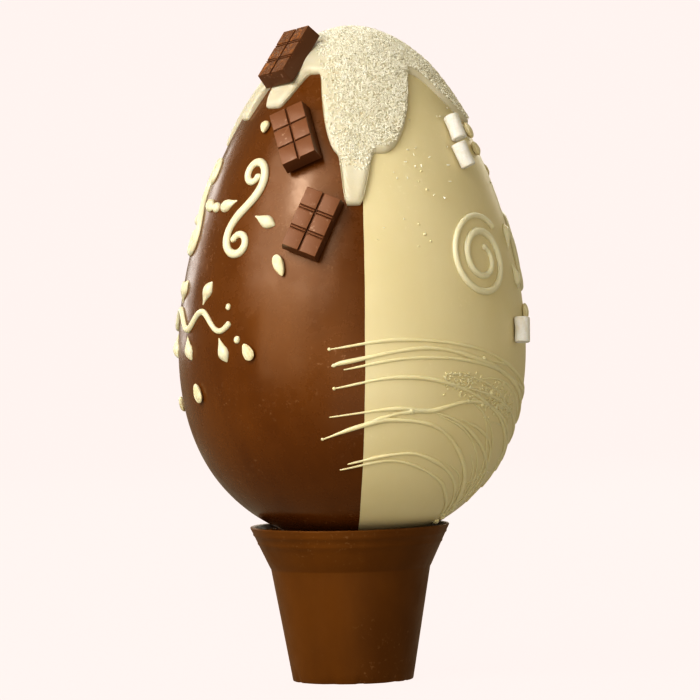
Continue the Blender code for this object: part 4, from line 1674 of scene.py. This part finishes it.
@dataclass
class Coconut:
    """Fine dry coconut over the icing's white side, with some strays below it."""

    icing: IcingCap
    count: int = 23500
    strays: int = 60
    length: float = 1.75 * MM
    thin_from: float = -20 * MM
    dense_from: float = 0.0
    ceiling: float = 392.6 * MM
    seed: int = 11

    def places(self, rng: np.random.Generator) -> tuple[Array, Array, Array]:
        """Pick the flakes' places: dense over the white side, thin at its margin.

        Args:
            rng: Random numbers.

        Returns:
            Azimuths, heights and lifts.
        """
        wanted = 6 * self.count
        azimuth = np.radians(rng.uniform(-90.0, 270.0, wanted))
        height = EGG.height_at(np.arccos(1 - rng.uniform(0.0, 1.0, wanted) * 0.55))
        on_cap = height > self.icing.edge(azimuth) + 3 * MM
        across = EGG.lay(azimuth, height)[:, 0]
        edge_fade = np.clip((across - self.thin_from) / (self.dense_from - self.thin_from), 0.0, 1.0) ** 2.6
        low_fade = np.clip((height - 221 * MM) / (14 * MM), 0.0, 1.0)
        keep = on_cap & (rng.uniform(0, 1, wanted) < edge_fade * low_fade)
        azimuth, height = azimuth[keep][:self.count], height[keep][:self.count]
        lift = self.icing.depth(azimuth, height)
        thick = lift > 0.42 * self.icing.thickness
        stray_azimuth = np.radians(rng.uniform(4.0, 176.0, self.strays))
        below = np.abs(rng.normal(0.0, 26 * MM, self.strays))
        stray_height = self.icing.edge(stray_azimuth) - 2 * MM - below
        return (
            np.concatenate([azimuth[thick], stray_azimuth]), np.concatenate([height[thick], stray_height]),
            np.concatenate([lift[thick], np.zeros(self.strays)]),
        )

    def build(self) -> None:
        """Model one flake, and lay a copy at each place, all in one mesh."""
        rng = np.random.default_rng(self.seed)
        azimuth, height, lift = self.places(rng)
        skin, side, up, out = EGG.axes(azimuth, height)
        count = len(azimuth)
        deselect()
        bpy.ops.mesh.primitive_cone_add(vertices=3, radius1=0.5, radius2=0.25, depth=1.0, rotation=(pi / 2, 0, 0))
        piece = take("coconut_flakes")
        bpy.ops.object.transform_apply(location=False, rotation=True, scale=False)
        sizes = np.stack([
            rng.uniform(0.4, 0.8, count), rng.uniform(0.6, 1.3, count), rng.uniform(0.35, 0.7, count),
        ], -1) * self.length
        spin = rng.uniform(0, tau, count)[:, None]
        tilt = rng.normal(0.0, 0.8, (count, 1))
        first = side * np.cos(spin) + up * np.sin(spin)
        second = (up * np.cos(spin) - side * np.sin(spin)) * np.cos(tilt) + out * np.sin(tilt)
        centre = skin + out * (lift + 0.16 * self.length)[:, None]
        scatter(piece, centre, (first, second, np.cross(first, second)), sizes)
        points = points_of(piece)
        points[:, 2] = np.minimum(points[:, 2], self.ceiling)
        place_points(piece, points)
        hand_over(piece, COCONUT.material())


@dataclass
class Studio:
    """Seamless paper, soft lights, and the camera at the height of the egg's middle."""

    target: Colour = (2.5 * MM, 0.0, 198 * MM)
    azimuth: float = -4.1
    elevation: float = 1.99
    roll: float = -1.3
    distance: float = 4.0024
    lens: float = 343.07
    sensor: float = 36.0
    floor: float = 7.0
    room: float = 9.5

    def paper(self) -> None:
        """Lay the paper all round: a flat floor that curves up into a closed dome."""
        sheet = ball("studio_sheet", 96, 64)
        points = points_of(sheet)
        reach = np.hypot(points[:, 0], points[:, 1])
        bend = self.room - self.floor
        past = np.clip((reach * self.room - self.floor) / bend, 0.0, 1.0)
        cove = bend * (1 - np.sqrt(1 - past * past))
        points[:, 2] = np.where(points[:, 2] < 0, cove, bend + points[:, 2] * (self.room - bend))
        points[:, :2] *= self.room
        place_points(sheet, points)
        sheet.data.materials.append(StudioPaper().material())
        smooth(sheet, 60.0)
        sheet.visible_diffuse = False
        sheet.visible_glossy = False
        sheet.visible_shadow = False

    def light(
        self,
        name: str,
        azimuth: float,
        elevation: float,
        distance: float,
        size: tuple[float, float],
        power: float,
        tint: Colour = (1.0, 1.0, 1.0),
    ) -> None:
        """Hang one soft light that faces the egg.

        Args:
            name: The light's name.
            azimuth: Azimuth in degrees.
            elevation: Angle above the horizon in degrees.
            distance: Distance from the egg's middle in metres.
            size: Width and height of the light in metres.
            power: Power in watts.
            tint: The light's colour.
        """
        data = bpy.data.lights.new(name, "AREA")
        data.shape = "RECTANGLE"
        data.size, data.size_y = size
        data.energy = power
        data.color = tint
        lamp = bpy.data.objects.new(name, data)
        bpy.context.scene.collection.objects.link(lamp)
        away = self.away(azimuth, elevation)
        lamp.location = Vector(self.target) + away * distance
        lamp.rotation_euler = (-away).to_track_quat("-Z", "Y").to_euler()
        lamp.visible_camera = False

    @staticmethod
    def away(azimuth: float, elevation: float) -> Vector:
        """Direction from the egg towards an azimuth and elevation in degrees."""
        turn, rise = radians(azimuth), radians(elevation)
        return Vector((sin(turn) * cos(rise), -cos(turn) * cos(rise), sin(rise)))

    def camera(self) -> None:
        """Set the camera, turned slightly about its own axis."""
        data = bpy.data.cameras.new("camera")
        data.sensor_width = self.sensor
        data.lens = self.lens
        data.clip_end = 100.0
        camera = bpy.data.objects.new("camera", data)
        bpy.context.scene.collection.objects.link(camera)
        away = self.away(self.azimuth, self.elevation)
        camera.location = Vector(self.target) + away * self.distance
        level = (-away).to_track_quat("-Z", "Y")
        camera.rotation_mode = "QUATERNION"
        camera.rotation_quaternion = level @ Quaternion((0.0, 0.0, 1.0), radians(self.roll))
        bpy.context.scene.camera = camera

    def build(self) -> None:
        """Set up paper, lights and camera."""
        self.paper()
        self.light("key", -50.0, 34.0, 1.5, (1.75, 0.95), 13.5)
        self.light("spark", -50.0, 40.0, 1.5, (0.3, 0.3), 3.0)
        self.light("low", -50.0, 8.0, 1.5, (0.9, 0.9), 4.1, (1.0, 0.95, 0.85))
        self.light("front", -16.0, 8.0, 1.6, (1.0, 0.9), 2.0, (1.0, 0.95, 0.85))
        self.light("fill", 60.0, 8.0, 2.0, (1.0, 1.0), 2.8, (1.0, 0.92, 0.74))
        self.light("bounce", 5.0, -17.0, 0.6, (0.5, 0.4), 0.35)
        self.light("left_edge", -150.0, 8.0, 1.6, (0.5, 0.5), 1.5)
        self.light("back_soft", 165.0, 28.0, 2.2, (1.6, 1.6), 16.0, (1.0, 0.95, 0.85))
        world = bpy.data.worlds.new("studio_air")
        world.use_nodes = True
        world.node_tree.nodes["Background"].inputs["Color"].default_value = (1.0, 0.92, 0.72, 1.0)
        world.node_tree.nodes["Background"].inputs["Strength"].default_value = 0.28
        bpy.context.scene.world = world
        bpy.context.scene.view_settings.view_transform = "Standard"
        bpy.context.scene.view_settings.look = "High Contrast"
        self.camera()


def main() -> None:
    """Load the frame and build every sub-assembly in order."""
    logging.basicConfig(level=logging.INFO, format="%(name)s: %(message)s")
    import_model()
    Studio().build()
    EggShell().build()
    FlowerPot().build()
    icing = IcingCap()
    icing.build()
    ChocolateBars().build()
    Marshmallows().build()
    PuffedGrains().build()
    PipedOrnament().build()
    Drizzle().build()
    Coconut(icing).build()


if __name__ == "__main__":
    main()
